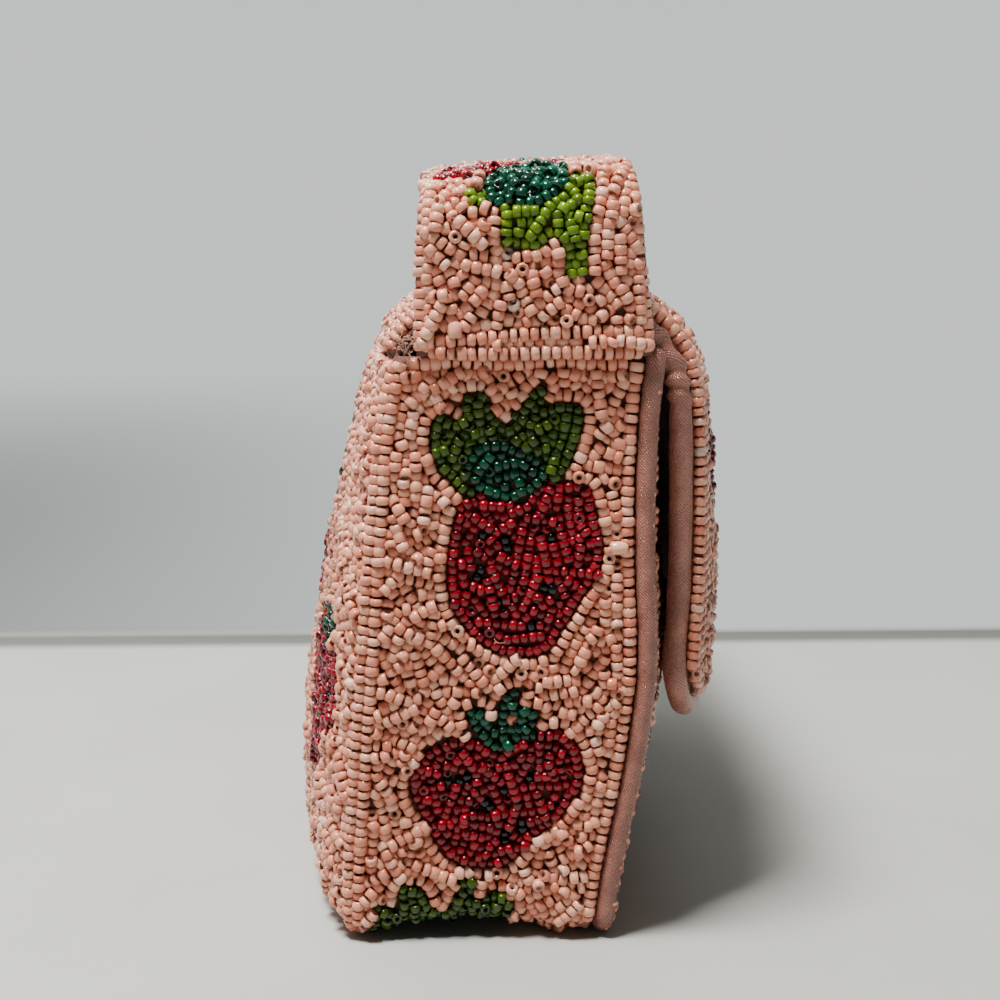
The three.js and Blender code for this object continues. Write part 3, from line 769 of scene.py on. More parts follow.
# Strings over the rest, spread evenly by a low-discrepancy sequence. None starts on a fixed bead.
def looseStrings(name, seed, fixed, rng):
    chart = charts[name]
    width = chart.widths.max()
    lengthsOf, shares = np.array([1, 2, 3, 4, 5]), np.array([0.06, 0.16, 0.28, 0.28, 0.22])
    areaPerBead = 7.4
    wanted = int(width * chart.length / ((lengthsOf * shares).sum() * areaPerBead))
    k = np.arange(wanted) + seed * 31
    s = ((k * 0.7548776662466927) % 1 - 0.5) * width + rng.normal(0, 0.7, wanted)
    t = ((k * 0.5698402909980532) % 1) * chart.length + rng.normal(0, 0.7, wanted)
    keep = (np.abs(s) < chart.widthAt(t) / 2 - sideRoom - 0.1) & (t > endRoom) & (t < chart.length - endRoom)
    s, t = s[keep], t[keep]
    count = rng.choice(lengthsOf, len(s), p=shares)
    angle = rng.uniform(0, np.pi, len(s))
    strings = {"s": s, "t": t, "angle": angle, "count": count, "region": regionAt(name, s, t)}
    fitToRegion(name, strings)
    fixedAt = chart.at(fixed[:, 0], fixed[:, 1])[0]
    a, b = nearPairs(np.concatenate([chart.at(s, t)[0], fixedAt]), 1.9)
    taken = np.zeros(len(s), bool)
    cross = (np.minimum(a, b) < len(s)) & (np.maximum(a, b) >= len(s))
    taken[np.minimum(a, b)[cross]] = True
    return {key: value[~taken] for key, value in strings.items()}


# What still overlaps is piled up: one bead rises and its neighbour sinks. Each string leans and arches.
def pileUp(strings, laid, fixed, rng):
    count, owner, ids, size, discs = strings["count"], *(laid[key] for key in ("owner", "ids", "size", "discs"))
    beads, n, stringCount = len(owner), len(ids), len(strings["s"])
    ids2 = np.concatenate([ids, ids])
    a, b = nearPairs(discs, 2.3)
    differ = ids2[a] != ids2[b]
    a, b = a[differ], b[differ]
    radii = discRadius * np.concatenate([size, size])
    overlap = radii[a] + radii[b] - np.linalg.norm(discs[a] - discs[b], axis=1)
    hit = overlap > 0.12
    a, b, overlap = a[hit] % n, b[hit] % n, overlap[hit]
    last = np.maximum(count[owner] - 1, 1)
    share = (np.arange(beads) - np.repeat(np.cumsum(count) - count, count)) / last
    lean, arch = rng.normal(0, 0.28, stringCount)[owner], np.abs(rng.normal(0, 0.3, stringCount))[owner]
    height = rng.normal(0.05, 0.3, stringCount)[owner] + rng.normal(0, 0.07, beads)
    height = height + lean * (share - 0.5) * 2 + arch * (0.5 - 2 * (share - 0.5) ** 2)
    height = np.concatenate([height, -fixed[:, 4] + rng.normal(0, 0.06, len(fixed))])
    freedom = np.concatenate([np.ones(beads), np.full(len(fixed), 0.15)])
    need = np.minimum(1.35 * np.sqrt(np.maximum(overlap, 0)), 1.35)
    for _ in range(14):
        rise = height[a] - height[b]
        lack = np.maximum(need - np.abs(rise), 0) * np.where(rise >= 0, 1, -1)
        total = freedom[a] + freedom[b]
        up = np.bincount(a, 0.5 * lack * freedom[a] / total, n)
        up -= np.bincount(b, 0.5 * lack * freedom[b] / total, n)
        height = np.clip(height + up, -0.8, 1.5)
        mean = np.bincount(ids, height) / np.maximum(np.bincount(ids), 1)
        height = 0.86 * height + 0.14 * mean[ids]
    return height, int((overlap > 0.3).sum())


# Where every bead of one surface goes. Strings of one to five beads are dropped at random between the
# fixed rows and outlines, then pushed apart until they hardly overlap, with the gaps filled in between.
def layBeads(name, seed):
    rng = np.random.default_rng(seed)
    started = time.perf_counter()
    chart = charts[name]
    fixed = fixedBeads(name, rng)
    strings = looseStrings(name, seed, fixed, rng)
    for steps, room in ((26, 1.8), (16, 1.7), (10, 1.68)):
        laid = pushApart(chart, strings, fixed, steps)
        gaps = findGaps(name, chart, laid["discs"], room, rng)
        if not len(gaps):
            break
        gs, gt = gaps.T
        more = {
            "s": gs, "t": gt, "angle": rng.uniform(0, np.pi, len(gs)),
            "count": rng.choice([1, 2], len(gs), p=[0.7, 0.3]), "region": regionAt(name, gs, gt),
        }
        fitToRegion(name, more)
        strings = {key: np.concatenate([strings[key], more[key]]) for key in strings}
    laid = pushApart(chart, strings, fixed, 12)
    height, tight = pileUp(strings, laid, fixed, rng)
    count, region = strings["count"], strings["region"]
    owner, ids, size, thread, sideways = (laid[key] for key in ("owner", "ids", "size", "thread", "sideways"))
    allS, allT, _, point, normal = laid["places"][:5]
    beads, n, fixedCount = len(owner), len(point), len(fixed)

    kind = np.concatenate([region[owner], fixed[:, 3].astype(int)])
    loose = np.concatenate([np.ones(beads, bool), np.zeros(fixedCount, bool)])
    pearl = (kind == 0) & (rng.random(n) < 0.005)
    kind[pearl] = 5
    # A bead's thread climbs and falls with its neighbours on the string.
    own = np.arange(n)
    ahead, behind = np.minimum(own + 1, n - 1), np.maximum(own - 1, 0)
    ahead, behind = (np.where(ids[k] == ids, k, own) for k in (ahead, behind))
    slope = (height[ahead] - height[behind]) / (beadAlong * np.maximum(ahead - behind, 1))
    tilt = np.clip(slope, -0.6, 0.6) + rng.normal(0, np.where(loose, 0.13, 0.06), n)
    sway = rng.normal(0, np.where(loose, 0.1, 0.06), n)
    thread = unit(thread + normal * tilt[:, None] + sideways * sway[:, None])
    # A few single beads stand on end, their hole outward, and a few are long ones.
    single = np.concatenate([(count == 1)[owner], np.zeros(fixedCount, bool)])
    onEnd = single & (rng.random(n) < 0.22)
    thread[onEnd] = unit(normal[onEnd] + 0.45 * rng.normal(0, 1, (onEnd.sum(), 3)))
    height = height + np.where(onEnd, 0.1, 0)
    middle = point - normal * (beadDepth - height)[:, None]
    bulk = np.concatenate([np.ones(beads), fixed[:, 5]])
    across = beadAcross * size * bulk * np.clip(rng.normal(1, 0.045, n), 0.88, 1.1)
    along = beadAlong * size * np.clip(rng.normal(0.97, 0.1, n), 0.7, 1.14)
    bugle = single & ~onEnd & (kind == 0) & (rng.random(n) < 0.12)
    along[bugle] *= 1.7
    # None goes under the floor.
    steep = np.abs(thread[:, 2])
    reachDown = 0.5 * (across * np.sqrt(1 - steep**2) + along * steep)
    middle[:, 2] = np.maximum(middle[:, 2], reachDown + 0.05)
    # The beads of one string are a little alike in tone. The leaves on the strap take the lighter half of the leaf
    # glass, painted light for the strap's lit top, and the leaves elsewhere take the darker half, painted shade.
    tone = np.clip(rng.normal(0.5, 0.2, n) + rng.normal(0, 0.08, len(count) + fixedCount)[ids], 0.02, 0.98)
    tone = np.where(kind == 2, 0.5 * tone + (0.5 if name == "strap" else 0.04), tone)
    cut = (rng.random(n) < np.array([0.12, 0.2, 0.6, 0.6, 0.3, 0.1])[kind]).astype(int)
    taken = round(time.perf_counter() - started, 1)
    print("beads on", name, n, "fixed", fixedCount, "still over 0.3:", tight, taken, "s")
    return {
        "at": metres(middle), "thread": thread, "size": np.stack([across, across, along], 1) / 2000,
        "tone": tone, "kind": kind, "shape": cut, "s": allS, "t": allT,
    }


# The faces of rings of points: joined up again at the end, capped, or left open.
def ringFaces(rings, sides, ends="open", base=0):
    faces = []
    for k in range(rings if ends == "joined" else rings - 1):
        here, there = base + k * sides, base + (k + 1) % rings * sides
        for i in range(sides):
            j = (i + 1) % sides
            faces.append((here + i, here + j, there + j, there + i))
    if ends == "capped":
        last = base + (rings - 1) * sides
        faces.append(tuple(range(base + sides - 1, base - 1, -1)))
        faces.append(tuple(range(last, last + sides)))
    return faces


def faceOutward(mesh):
    volume = 0
    for polygon in mesh.polygons:
        first, *rest = (mesh.vertices[k].co for k in polygon.vertices)
        volume += sum(first.dot(b.cross(c)) for b, c in zip(rest, rest[1:]))
    if volume < 0:
        mesh.flip_normals()


# One bead of radius and half-length 1: rings from one hole round the outside to the other.
def beadMesh(name, profile, sides, ends):
    turn = np.arange(sides) / sides * 2 * np.pi
    points = [(r * math.cos(a), r * math.sin(a), h) for r, h in profile for a in turn]
    mesh = bpy.data.meshes.new(name)
    mesh.from_pydata(points, [], ringFaces(len(profile), sides, ends))
    along = mesh.attributes.new("profile", "FLOAT", "POINT")
    around = mesh.attributes.new("round", "FLOAT", "POINT")
    along.data.foreach_set("value", np.repeat(np.linspace(0.03, 0.97, len(profile)), sides))
    around.data.foreach_set("value", np.tile(np.arange(sides) / sides, len(profile)))
    faceOutward(mesh)
    return bpy.data.objects.new(name, mesh)


# Half profiles as pairs of radius and height, mirrored for the other half, and the beads made of them:
# their sides, how their ends close, and the profiles of a round and a cut bead.
def wholeProfile(half, middle=()):
    return [(r, -h) for r, h in half] + list(middle) + list(reversed(half))


roundProfile = wholeProfile([(0.36, 0.8), (0.68, 0.99), (0.94, 0.7)], [(1, 0)])
cutProfile = wholeProfile([(0.36, 0.84), (0.8, 0.99), (0.98, 0.78)])
middleProfile = wholeProfile([(0.4, 0.84), (0.78, 0.96), (1, 0.45)])
plainProfile = wholeProfile([(0.76, 0.94)], [(1, 0)])
hiddenProfile = wholeProfile([(0.85, 0.85)])
beadShapes = {}
for name, sides, ends, profiles in (
    ("fine", 8, "joined", (roundProfile, cutProfile)),
    ("middle", 6, "joined", (middleProfile, middleProfile)),
    ("plain", 6, "capped", (plainProfile, plainProfile)),
    ("far", 5, "capped", (plainProfile, plainProfile)),
    ("under", 5, "capped", (hiddenProfile, hiddenProfile)),
    ("hidden", 3, "capped", (hiddenProfile, hiddenProfile)),
):
    beadShapes[name] = tuple(beadMesh(name + "Bead", profile, sides, ends) for profile in profiles)


# Materials and their nodes. A value that is another node's output is linked, any other is set.
def setInputs(node, **values):
    for key, value in values.items():
        if hasattr(node, key):
            setattr(node, key, value)
        elif isinstance(value, bpy.types.NodeSocket):
            node.id_data.links.new(value, node.inputs[key.replace("_", " ")])
        else:
            node.inputs[key.replace("_", " ")].default_value = value
    return node


def addNode(nodes, kind, **values):
    return setInputs(nodes.new(kind), **values)


def ramp(nodes, value, stops):
    node = addNode(nodes, "ShaderNodeValToRGB", Fac=value)
    elements = node.color_ramp.elements
    while len(elements) > 1:
        elements.remove(elements[-1])
    elements[0].position, elements[0].color = stops[0][0], (*stops[0][1], 1)
    for place, colour in stops[1:]:
        elements.new(place).color = (*colour, 1)
    return node.outputs[0]


def noise(nodes, place, scale, detail):
    return addNode(nodes, "ShaderNodeTexNoise", Vector=place, Scale=scale, Detail=detail).outputs[0]


def bump(nodes, height, strength, distance, **under):
    node = addNode(nodes, "ShaderNodeBump", Height=height, Strength=strength, Distance=distance, **under)
    return node.outputs[0]


def spread(nodes, value, span, low=0.0, high=1.0, kind="LINEAR"):
    places = {"From_Min": span[0], "From_Max": span[1], "To_Min": low, "To_Max": high}
    return addNode(nodes, "ShaderNodeMapRange", Value=value, interpolation_type=kind, **places).outputs[0]


def worked(nodes, operation, a, b):
    node = addNode(nodes, "ShaderNodeMath", operation=operation)
    for value, socket in zip((a, b), node.inputs):
        nodes.id_data.links.new(value, socket)
    return node.outputs[0]


def mixed(nodes, kind, share, a, b):
    node = addNode(nodes, "ShaderNodeMix", data_type=kind, blend_type="MULTIPLY" if kind == "RGBA" else "MIX")
    first, result = (6, 2) if kind == "RGBA" else (2, 0)
    for value, socket in zip((share, a, b), (node.inputs[k] for k in (0, first, first + 1))):
        if isinstance(value, bpy.types.NodeSocket):
            nodes.id_data.links.new(value, socket)
        else:
            socket.default_value = value
    return node.outputs[result]


def newMaterial(name):
    material = bpy.data.materials.new(name)
    material.use_nodes = True
    nodes = material.node_tree.nodes
    uv = addNode(nodes, "ShaderNodeUVMap", uv_map="OFBake").outputs["UV"]
    place = nodes.new("ShaderNodeTexCoord").outputs["Object"]
    return material, nodes, nodes["Principled BSDF"], uv, place


def linear(r, g, b):
    return tuple((c / 255 / 12.92 if c <= 10 else ((c / 255 + 0.055) / 1.055) ** 2.4) for c in (r, g, b))


# Glass beads: the map's U picks the tone and V is the place along the bead. The colour darkens towards both ends
# and most into the holes, painted shade where the beads touch and in their holes.
def beadMaterial(name, tones, roughness, coat):
    material, nodes, shader, uv, place = newMaterial(name)
    split = addNode(nodes, "ShaderNodeSeparateXYZ", Vector=uv).outputs
    # Painted shade: the colour falls from the bead's face to its rim and darkest into its hole.
    holeShade, rim, face = (0.25, 0.2, 0.18), (0.8, 0.78, 0.76), (1, 1, 1)
    holeShadeRamp = [(0.0, holeShade), (0.2, rim), (0.34, face), (0.66, face), (0.8, rim), (1.0, holeShade)]
    grain = noise(nodes, uv, 90.0, 2.0)
    setInputs(
        shader,
        Base_Color=mixed(nodes, "RGBA", 1, ramp(nodes, split["X"], tones), ramp(nodes, split["Y"], holeShadeRamp)),
        Roughness=spread(nodes, grain, (0.3, 0.7), max(roughness - 0.07, 0.03), roughness + 0.1),
        Normal=bump(nodes, noise(nodes, place, 900.0, 2.0), 0.25, 0.0002),
        Coat_Weight=coat,
        Coat_Roughness=0.08,
        Specular_IOR_Level=0.42,
    )
    return material


# For each kind of glass: its tones in display colours, its roughness and its coat.
glasses = {
    "pink": ([(190, 106, 80), (208, 126, 99), (218, 141, 114), (224, 156, 129), (230, 176, 152)], 0.2, 0.3),
    "red": ([(84, 0, 10), (118, 0, 18), (146, 0, 26)], 0.15, 0.06),
    # The leaf glass's lighter half is painted light and only the strap's leaves wear it; the darker half is
    # painted shade for the other leaves.
    "leaf": ([(22, 38, 0), (54, 78, 0), (106, 138, 14)], 0.16, 0.06),
    "calyx": ([(0, 30, 18), (0, 54, 34), (0, 76, 52)], 0.15, 0.06),
    "seed": (None, 0.12, 0.0),
    "pearl": ([(182, 146, 132), (208, 178, 164), (224, 200, 188)], 0.18, 0.4),
}
seedTones = [(0, (0.001, 0.001, 0.0012)), (1, (0.003, 0.003, 0.003))]
beadMaterials = []
for name, (tones, roughness, coat) in glasses.items():
    stops = [(k / (len(tones) - 1), linear(*tone)) for k, tone in enumerate(tones)] if tones else seedTones
    beadMaterials.append(beadMaterial(name + " glass", stops, roughness, coat))
for pair in beadShapes.values():
    for shape in pair:
        shape.data.materials.append(beadMaterials[0])


# Cloth under the beads: an over-and-under weave in the piece's own map. The cut is its width and
# length in millimetres, so that every piece has the same thread, and a side fills 0.47 of the map.
threadPitch, sideShare = 0.5, 0.47


def clothMaterial(name, warp, weft, cut):
    material, nodes, shader, uv, place = newMaterial(name)
    size = (cut[0] / threadPitch, cut[1] / threadPitch / sideShare, 1)
    scaled = addNode(nodes, "ShaderNodeMapping", Vector=uv, Scale=size).outputs[0]
    weave = addNode(nodes, "ShaderNodeTexChecker", Vector=scaled, Scale=1.0)
    setInputs(weave, Color1=(*warp, 1), Color2=(*weft, 1))
    tint = ramp(nodes, noise(nodes, place, 420.0, 4.0), [(0.3, (0.75, 0.72, 0.7)), (0.7, (1.05, 1.04, 1.03))])
    setInputs(
        shader,
        Base_Color=mixed(nodes, "RGBA", 1, weave.outputs[0], tint),
        Normal=bump(nodes, weave.outputs[1], 0.5, 0.0002),
        Roughness=0.85,
    )
    return material


# Satin: fine diagonal twill ribs crossed by fainter ones, threads that glint, slow changes of tone.
ribPitch = 0.85


def satinMaterial(name, dark, light, cut, shine=0.75):
    material, nodes, shader, uv, place = newMaterial(name)
    ribs = []
    for slant, size in ((1, 1), (-1, 0.8)):
        pitch = (0.63 * cut[0] / ribPitch / size, slant * 0.63 * cut[1] / ribPitch / size, 1)
        scaled = addNode(nodes, "ShaderNodeMapping", Vector=uv, Scale=pitch).outputs[0]
        wave = addNode(nodes, "ShaderNodeTexWave", wave_type="BANDS", bands_direction="DIAGONAL", Vector=scaled)
        ribs.append(setInputs(wave, Scale=1.0, Distortion=0.5, Detail=1.5).outputs[1])
    cross = mixed(nodes, "FLOAT", 0.38, *ribs)
    tint = ramp(nodes, noise(nodes, place, 160.0, 4.0), [(0.3, dark), (0.72, light)])
    ribTint = ramp(nodes, cross, [(0.15, (0.46, 0.4, 0.38)), (0.7, (1.12, 1.1, 1.08))])
    grain = noise(nodes, place, 2200.0, 2.0)
    setInputs(
        shader,
        Base_Color=mixed(nodes, "RGBA", 1, tint, ribTint),
        Roughness=spread(nodes, grain, (0.38, 0.62), 0.5 - 0.5 * shine, 0.7 - 0.3 * shine),
        Normal=bump(nodes, grain, 0.8, 0.0003, Normal=bump(nodes, cross, 0.7, 0.00022)),
        Specular_IOR_Level=shine,
        Sheen_Weight=0.1,
        Sheen_Roughness=0.35,
        Sheen_Tint=(1, 0.84, 0.78, 1),
        Anisotropic=0.4,
    )
    return material


def metalMaterial(name, dark, light, roughness):
    material, nodes, shader, _, place = newMaterial(name)
    grain = noise(nodes, place, 700.0, 5.0)
    setInputs(
        shader,
        Base_Color=ramp(nodes, grain, [(0.35, linear(*dark)), (0.65, linear(*light))]),
        Roughness=spread(nodes, grain, (0, 1), roughness - 0.08, roughness + 0.15),
        Normal=bump(nodes, noise(nodes, place, 2400.0, 2.0), 0.12, 0.00005),
        Metallic=1,
    )
    return material


# The ground cloth's tones are its own rose-brown darkened to the shade in the gaps between the beads: partly its
# colour, partly painted shade.
groundAndGapShadeTones = linear(92, 52, 40), linear(112, 68, 54)
liningTones = linear(140, 96, 84), linear(178, 130, 115)
flapRoseTones = linear(150, 88, 74), linear(186, 124, 106)
# The front piping is the flap piping's satin in darker tones: painted shade for the dimmer light on the front
# piping.
frontShadedRoseTones = linear(130, 74, 61), linear(166, 106, 90)


def groundCloth(cut):
    return clothMaterial("ground cloth", *groundAndGapShadeTones, cut)


def backingSatin(cut):
    return satinMaterial("backing satin", *liningTones, (cut[0], cut[1] / sideShare), 0.2)


silver = metalMaterial("bright steel", (170, 168, 162), (214, 212, 206), 0.25)
gunmetal = metalMaterial("dark steel", (34, 33, 34), (58, 56, 56), 0.35)
threadMaterial = clothMaterial("thread", linear(190, 136, 116), linear(220, 176, 158), (20, 20))


# Meshes from numpy
def meshPiece(name, points, faces, uv, materials, slots=None, inMetres=False):
    mesh = bpy.data.meshes.new(name)
    mesh.from_pydata((points if inMetres else metres(points)).tolist(), [], faces)
    layer = mesh.uv_layers.new(name="OFBake")
    corners = np.empty(len(mesh.loops), np.int32)
    mesh.loops.foreach_get("vertex_index", corners)
    layer.data.foreach_set("uv", np.asarray(uv, float)[corners].ravel())
    for material in materials:
        mesh.materials.append(material)
    if slots is not None:
        mesh.polygons.foreach_set("material_index", np.asarray(slots, np.int32))
    mesh.polygons.foreach_set("use_smooth", np.ones(len(mesh.polygons), bool))
    mesh.update()
    obj = bpy.data.objects.new(name, mesh)
    bpy.context.scene.collection.objects.link(obj)
    return obj


# A closed sheet between an outer and an inner grid. The outer side wears the first material.
def sheetPiece(name, outer, inner, materials):
    rows, columns = outer.shape[:2]
    points = np.concatenate([outer.reshape(-1, 3), inner.reshape(-1, 3)])
    base = rows * columns
    j, i = np.meshgrid(np.arange(rows - 1), np.arange(columns - 1), indexing="ij")
    a = (j * columns + i).ravel()
    quads = np.stack([a, a + 1, a + columns + 1, a + columns], 1)
    faces = [quads, quads[:, ::-1] + base]
    rim = np.concatenate(
        [
            np.arange(columns),
            np.arange(1, rows) * columns + columns - 1,
            (rows - 1) * columns + np.arange(columns - 2, -1, -1),
            np.arange(rows - 2, 0, -1) * columns,
        ]
    )
    nxt = np.roll(rim, -1)
    faces.append(np.stack([nxt, rim, rim + base, nxt + base], 1))
    slots = np.concatenate([np.zeros(len(quads)), np.ones(len(quads)), np.zeros(len(rim))])
    faces = np.concatenate(faces)
    middle = points[: base].mean(0)
    outward = outer[rows // 2, columns // 2] - inner[rows // 2, columns // 2]
    q = quads[len(quads) // 2]
    turned = np.dot(np.cross(points[q[1]] - points[q[0]], points[q[3]] - points[q[0]]), outward) < 0
    if turned:
        faces = faces[:, ::-1]
    u = np.tile(np.linspace(0.01, 0.99, columns), rows)
    v = np.repeat(np.linspace(0.01, 0.48, rows), columns)
    uv = np.concatenate([np.stack([u, v], 1), np.stack([u, v + 0.51], 1)])
    return meshPiece(name, points, faces.tolist(), uv, materials, slots)


def thin(chart, depth, rows, columns, trim=0.0):
    t = np.linspace(trim, chart.length - trim, rows)
    share = np.linspace(-1, 1, columns)
    s = share[None, :] * (chart.widthAt(t) / 2 - trim)[:, None]
    tt = np.repeat(t[:, None], columns, 1)
    point, normal = chart.at(s.ravel(), tt.ravel())[:2]
    return (point - normal * depth).reshape(rows, columns, 3)


# A closed tube along a line, its radius and folds given as a field over the place along and around it.
def tubePiece(name, line, radius, sides, materials, folds=None):
    line = np.asarray(line, float)
    count = len(line)
    tangent = unit(np.gradient(line, axis=0))
    normal = np.empty_like(line)
    start = np.cross(tangent[0], [0.3, 0.9, 0.2])
    normal[0] = unit(start)
    for k in range(1, count):
        n = normal[k - 1] - tangent[k] * np.dot(normal[k - 1], tangent[k])
        normal[k] = unit(n)
    second = np.cross(tangent, normal)
    turn = np.arange(sides) / sides * 2 * np.pi
    along = lengths(line)
    r = np.broadcast_to(np.asarray(radius, float).reshape(-1, 1), (count, sides)).copy()
    if folds is not None:
        r *= folds(along[:, None], turn[None, :], line)
    points = line[:, None] + r[..., None] * (
        np.cos(turn)[None, :, None] * normal[:, None] + np.sin(turn)[None, :, None] * second[:, None]
    )
    points = np.concatenate([points.reshape(-1, 3), line[:1], line[-1:]])
    points[:, 2] = np.maximum(points[:, 2], 0.03)
    faces, last = ringFaces(count, sides), (count - 1) * sides
    for i in range(sides):
        j = (i + 1) % sides
        faces += [(count * sides, j, i), (count * sides + 1, last + i, last + j)]
    uv = np.stack([np.repeat(along / along[-1], sides), np.tile(turn / (2 * np.pi), count)], 1) * 0.98 + 0.01
    uv = np.concatenate([uv, [[0.005, 0.5], [0.995, 0.5]]])
    obj = meshPiece(name, points, faces, uv, materials)
    layer = obj.data.uv_layers["OFBake"].data
    for k in range(count - 1):
        for corner in (1, 2):
            layer[4 * (k * sides + sides - 1) + corner].uv[1] = 0.99
    return obj


def settle(obj, slot, *nodes):
    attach(obj, "root")
    if nodes:
        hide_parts(*nodes)
    return obj


# The tree that sets one bead on every point, in its own size, direction and glass.
def beadTree():
    tree = bpy.data.node_groups.new("setBeads", "GeometryNodeTree")
    face = tree.interface
    face.new_socket("Geometry", in_out="INPUT", socket_type="NodeSocketGeometry")
    sockets = {
        "round": face.new_socket("Round bead", in_out="INPUT", socket_type="NodeSocketObject"),
        "cut": face.new_socket("Cut bead", in_out="INPUT", socket_type="NodeSocketObject"),
        "fatness": face.new_socket("Fatness", in_out="INPUT", socket_type="NodeSocketFloat"),
    }
    sockets["fatness"].default_value = 1.0
    for kind in kinds:
        sockets[kind] = face.new_socket("Glass " + kind, in_out="INPUT", socket_type="NodeSocketMaterial")
    face.new_socket("Geometry", in_out="OUTPUT", socket_type="NodeSocketGeometry")
    nodes, links = tree.nodes, tree.links
    given, result = nodes.new("NodeGroupInput").outputs, nodes.new("NodeGroupOutput")

    def attribute(name, kind):
        return addNode(nodes, "GeometryNodeInputNamedAttribute", data_type=kind, Name=name).outputs["Attribute"]

    def same(value, number):
        node = addNode(nodes, "FunctionNodeCompare", data_type="INT", operation="EQUAL")
        a, b = [x for x in node.inputs if x.type == "INT"][:2]
        links.new(value, a)
        b.default_value = number
        return node.outputs[0]

    thread = attribute("thread", "FLOAT_VECTOR")
    facing = addNode(nodes, "FunctionNodeAlignRotationToVector", axis="Z", Vector=thread)
    fat = addNode(nodes, "ShaderNodeVectorMath", operation="SCALE", Scale=given["Fatness"])
    links.new(attribute("size", "FLOAT_VECTOR"), fat.inputs[0])
    join = nodes.new("GeometryNodeJoinGeometry")
    for number, label in enumerate(("Round bead", "Cut bead")):
        place = addNode(
            nodes,
            "GeometryNodeInstanceOnPoints",
            Points=given["Geometry"],
            Selection=same(attribute("shape", "INT"), number),
            Instance=addNode(nodes, "GeometryNodeObjectInfo", Object=given[label]).outputs["Geometry"],
            Rotation=facing.outputs["Rotation"],
            Scale=fat.outputs[0],
        )
        links.new(place.outputs["Instances"], join.inputs[0])
    real = addNode(nodes, "GeometryNodeRealizeInstances", Geometry=join.outputs[0])
    # The map's U is the tone with a little of the place round the bead, and its V the place along it.
    tone = addNode(nodes, "ShaderNodeMath", operation="MULTIPLY_ADD")
    links.new(attribute("round", "FLOAT"), tone.inputs[0])
    tone.inputs[1].default_value = 0.012
    links.new(attribute("tone", "FLOAT"), tone.inputs[2])
    palette = addNode(nodes, "ShaderNodeCombineXYZ", X=tone.outputs[0], Y=attribute("profile", "FLOAT"))
    store = addNode(
        nodes, "GeometryNodeStoreNamedAttribute", data_type="FLOAT2", domain="CORNER", Name="OFBake",
        Geometry=real.outputs[0], Value=palette.outputs[0],
    )
    current = addNode(nodes, "GeometryNodeSetShadeSmooth", Geometry=store.outputs[0]).outputs[0]
    for k, kind in enumerate(kinds):
        chosen = same(attribute("kind", "INT"), k)
        glass = given["Glass " + kind]
        paint = addNode(nodes, "GeometryNodeSetMaterial", Geometry=current, Selection=chosen, Material=glass)
        current = paint.outputs[0]
    links.new(current, result.inputs[0])
    return tree, sockets


tree, treeSockets = beadTree()


def beadPiece(name, laid, chosen, shape, node):
    mesh = bpy.data.meshes.new(name + "Points")
    mesh.from_pydata(laid["at"][chosen].tolist(), [], [])
    fields = {"thread": "FLOAT_VECTOR", "size": "FLOAT_VECTOR", "tone": "FLOAT", "kind": "INT", "shape": "INT"}
    for key, kind in fields.items():
        layer = mesh.attributes.new(key, kind, "POINT")
        field = "vector" if kind == "FLOAT_VECTOR" else "value"
        layer.data.foreach_set(field, laid[key][chosen].ravel())
    source = bpy.data.objects.new(name + "Points", mesh)
    bpy.context.scene.collection.objects.link(source)
    modifier = source.modifiers.new("beads", "NODES")
    modifier.node_group = tree
    inputs = {"round": beadShapes[shape][0], "cut": beadShapes[shape][1], "fatness": 1.0}
    for key, value in {**inputs, **dict(zip(kinds, beadMaterials))}.items():
        modifier[treeSockets[key].identifier] = value
    depsgraph = bpy.context.evaluated_depsgraph_get()
    made = bpy.data.meshes.new_from_object(
        source.evaluated_get(depsgraph), preserve_all_data_layers=True, depsgraph=depsgraph
    )
    source.modifiers.remove(modifier)
    bpy.data.objects.remove(source)
    made.name = name
    obj = bpy.data.objects.new(name, made)
    bpy.context.scene.collection.objects.link(obj)
    triangles = sum(len(p.vertices) - 2 for p in made.polygons)
    print(name, len(laid["at"][chosen]), "beads", triangles, "triangles")
    return settle(obj, "beaded_cloth", node)


def clothPiece(name, outer, inner, cut, slot, node):
    backing = backingSatin(cut)
    face = backing if slot == "lining" else groundCloth(cut)
    settle(sheetPiece(name, outer, inner, [face, backing]), slot, node)


# The ground cloth lies under the beads and its backing on the wall's inner side, unless a depth is given.
clothDepth = 2.9

# Gusset
laid = layBeads("gusset", 3)
length = charts["gusset"].length
nearSide, farSide = laid["t"] < length * 0.288, laid["t"] >= length * 0.712
beadPiece("gusset_beads_near", laid, nearSide, "fine", "gusset")
beadPiece("gusset_beads_under", laid, ~nearSide & ~farSide, "under", "gusset")
beadPiece("gusset_beads_far", laid, farSide, "far", "gusset")
outer, inner = (thin(charts["gusset"], depth, 150, 13) for depth in (clothDepth, wall))
clothPiece("gusset_cloth", outer, inner, (60, 500), "beaded_cloth", "gusset")


def panelCloth(side, trim):
    outer, inner = (thin(charts[side], depth, 45, 51, trim) for depth in (clothDepth, wall))
    clothPiece(side + "_panel_cloth", outer, inner, (220, 155), "beaded_cloth", side + "_panel")


# Back panel, finer along the edge that the near side shows
laid = layBeads("back", 5)
edgePart, nearPart = laid["s"] < -84, laid["s"] < 0
beadPiece("back_panel_beads_edge", laid, edgePart, "middle", "back_panel")
beadPiece("back_panel_beads_near", laid, nearPart & ~edgePart, "plain", "back_panel")
beadPiece("back_panel_beads_far", laid, ~nearPart, "far", "back_panel")
panelCloth("back", 0.3)

# Front panel, mostly under the flap
laid = layBeads("front", 7)
shown = (laid["t"] > 72) | (np.abs(laid["s"]) > 92)
beadPiece("front_panel_beads_low", laid, shown, "plain", "front_panel")
beadPiece("front_panel_beads_covered", laid, ~shown, "hidden", "front_panel")
panelCloth("front", 1.8)

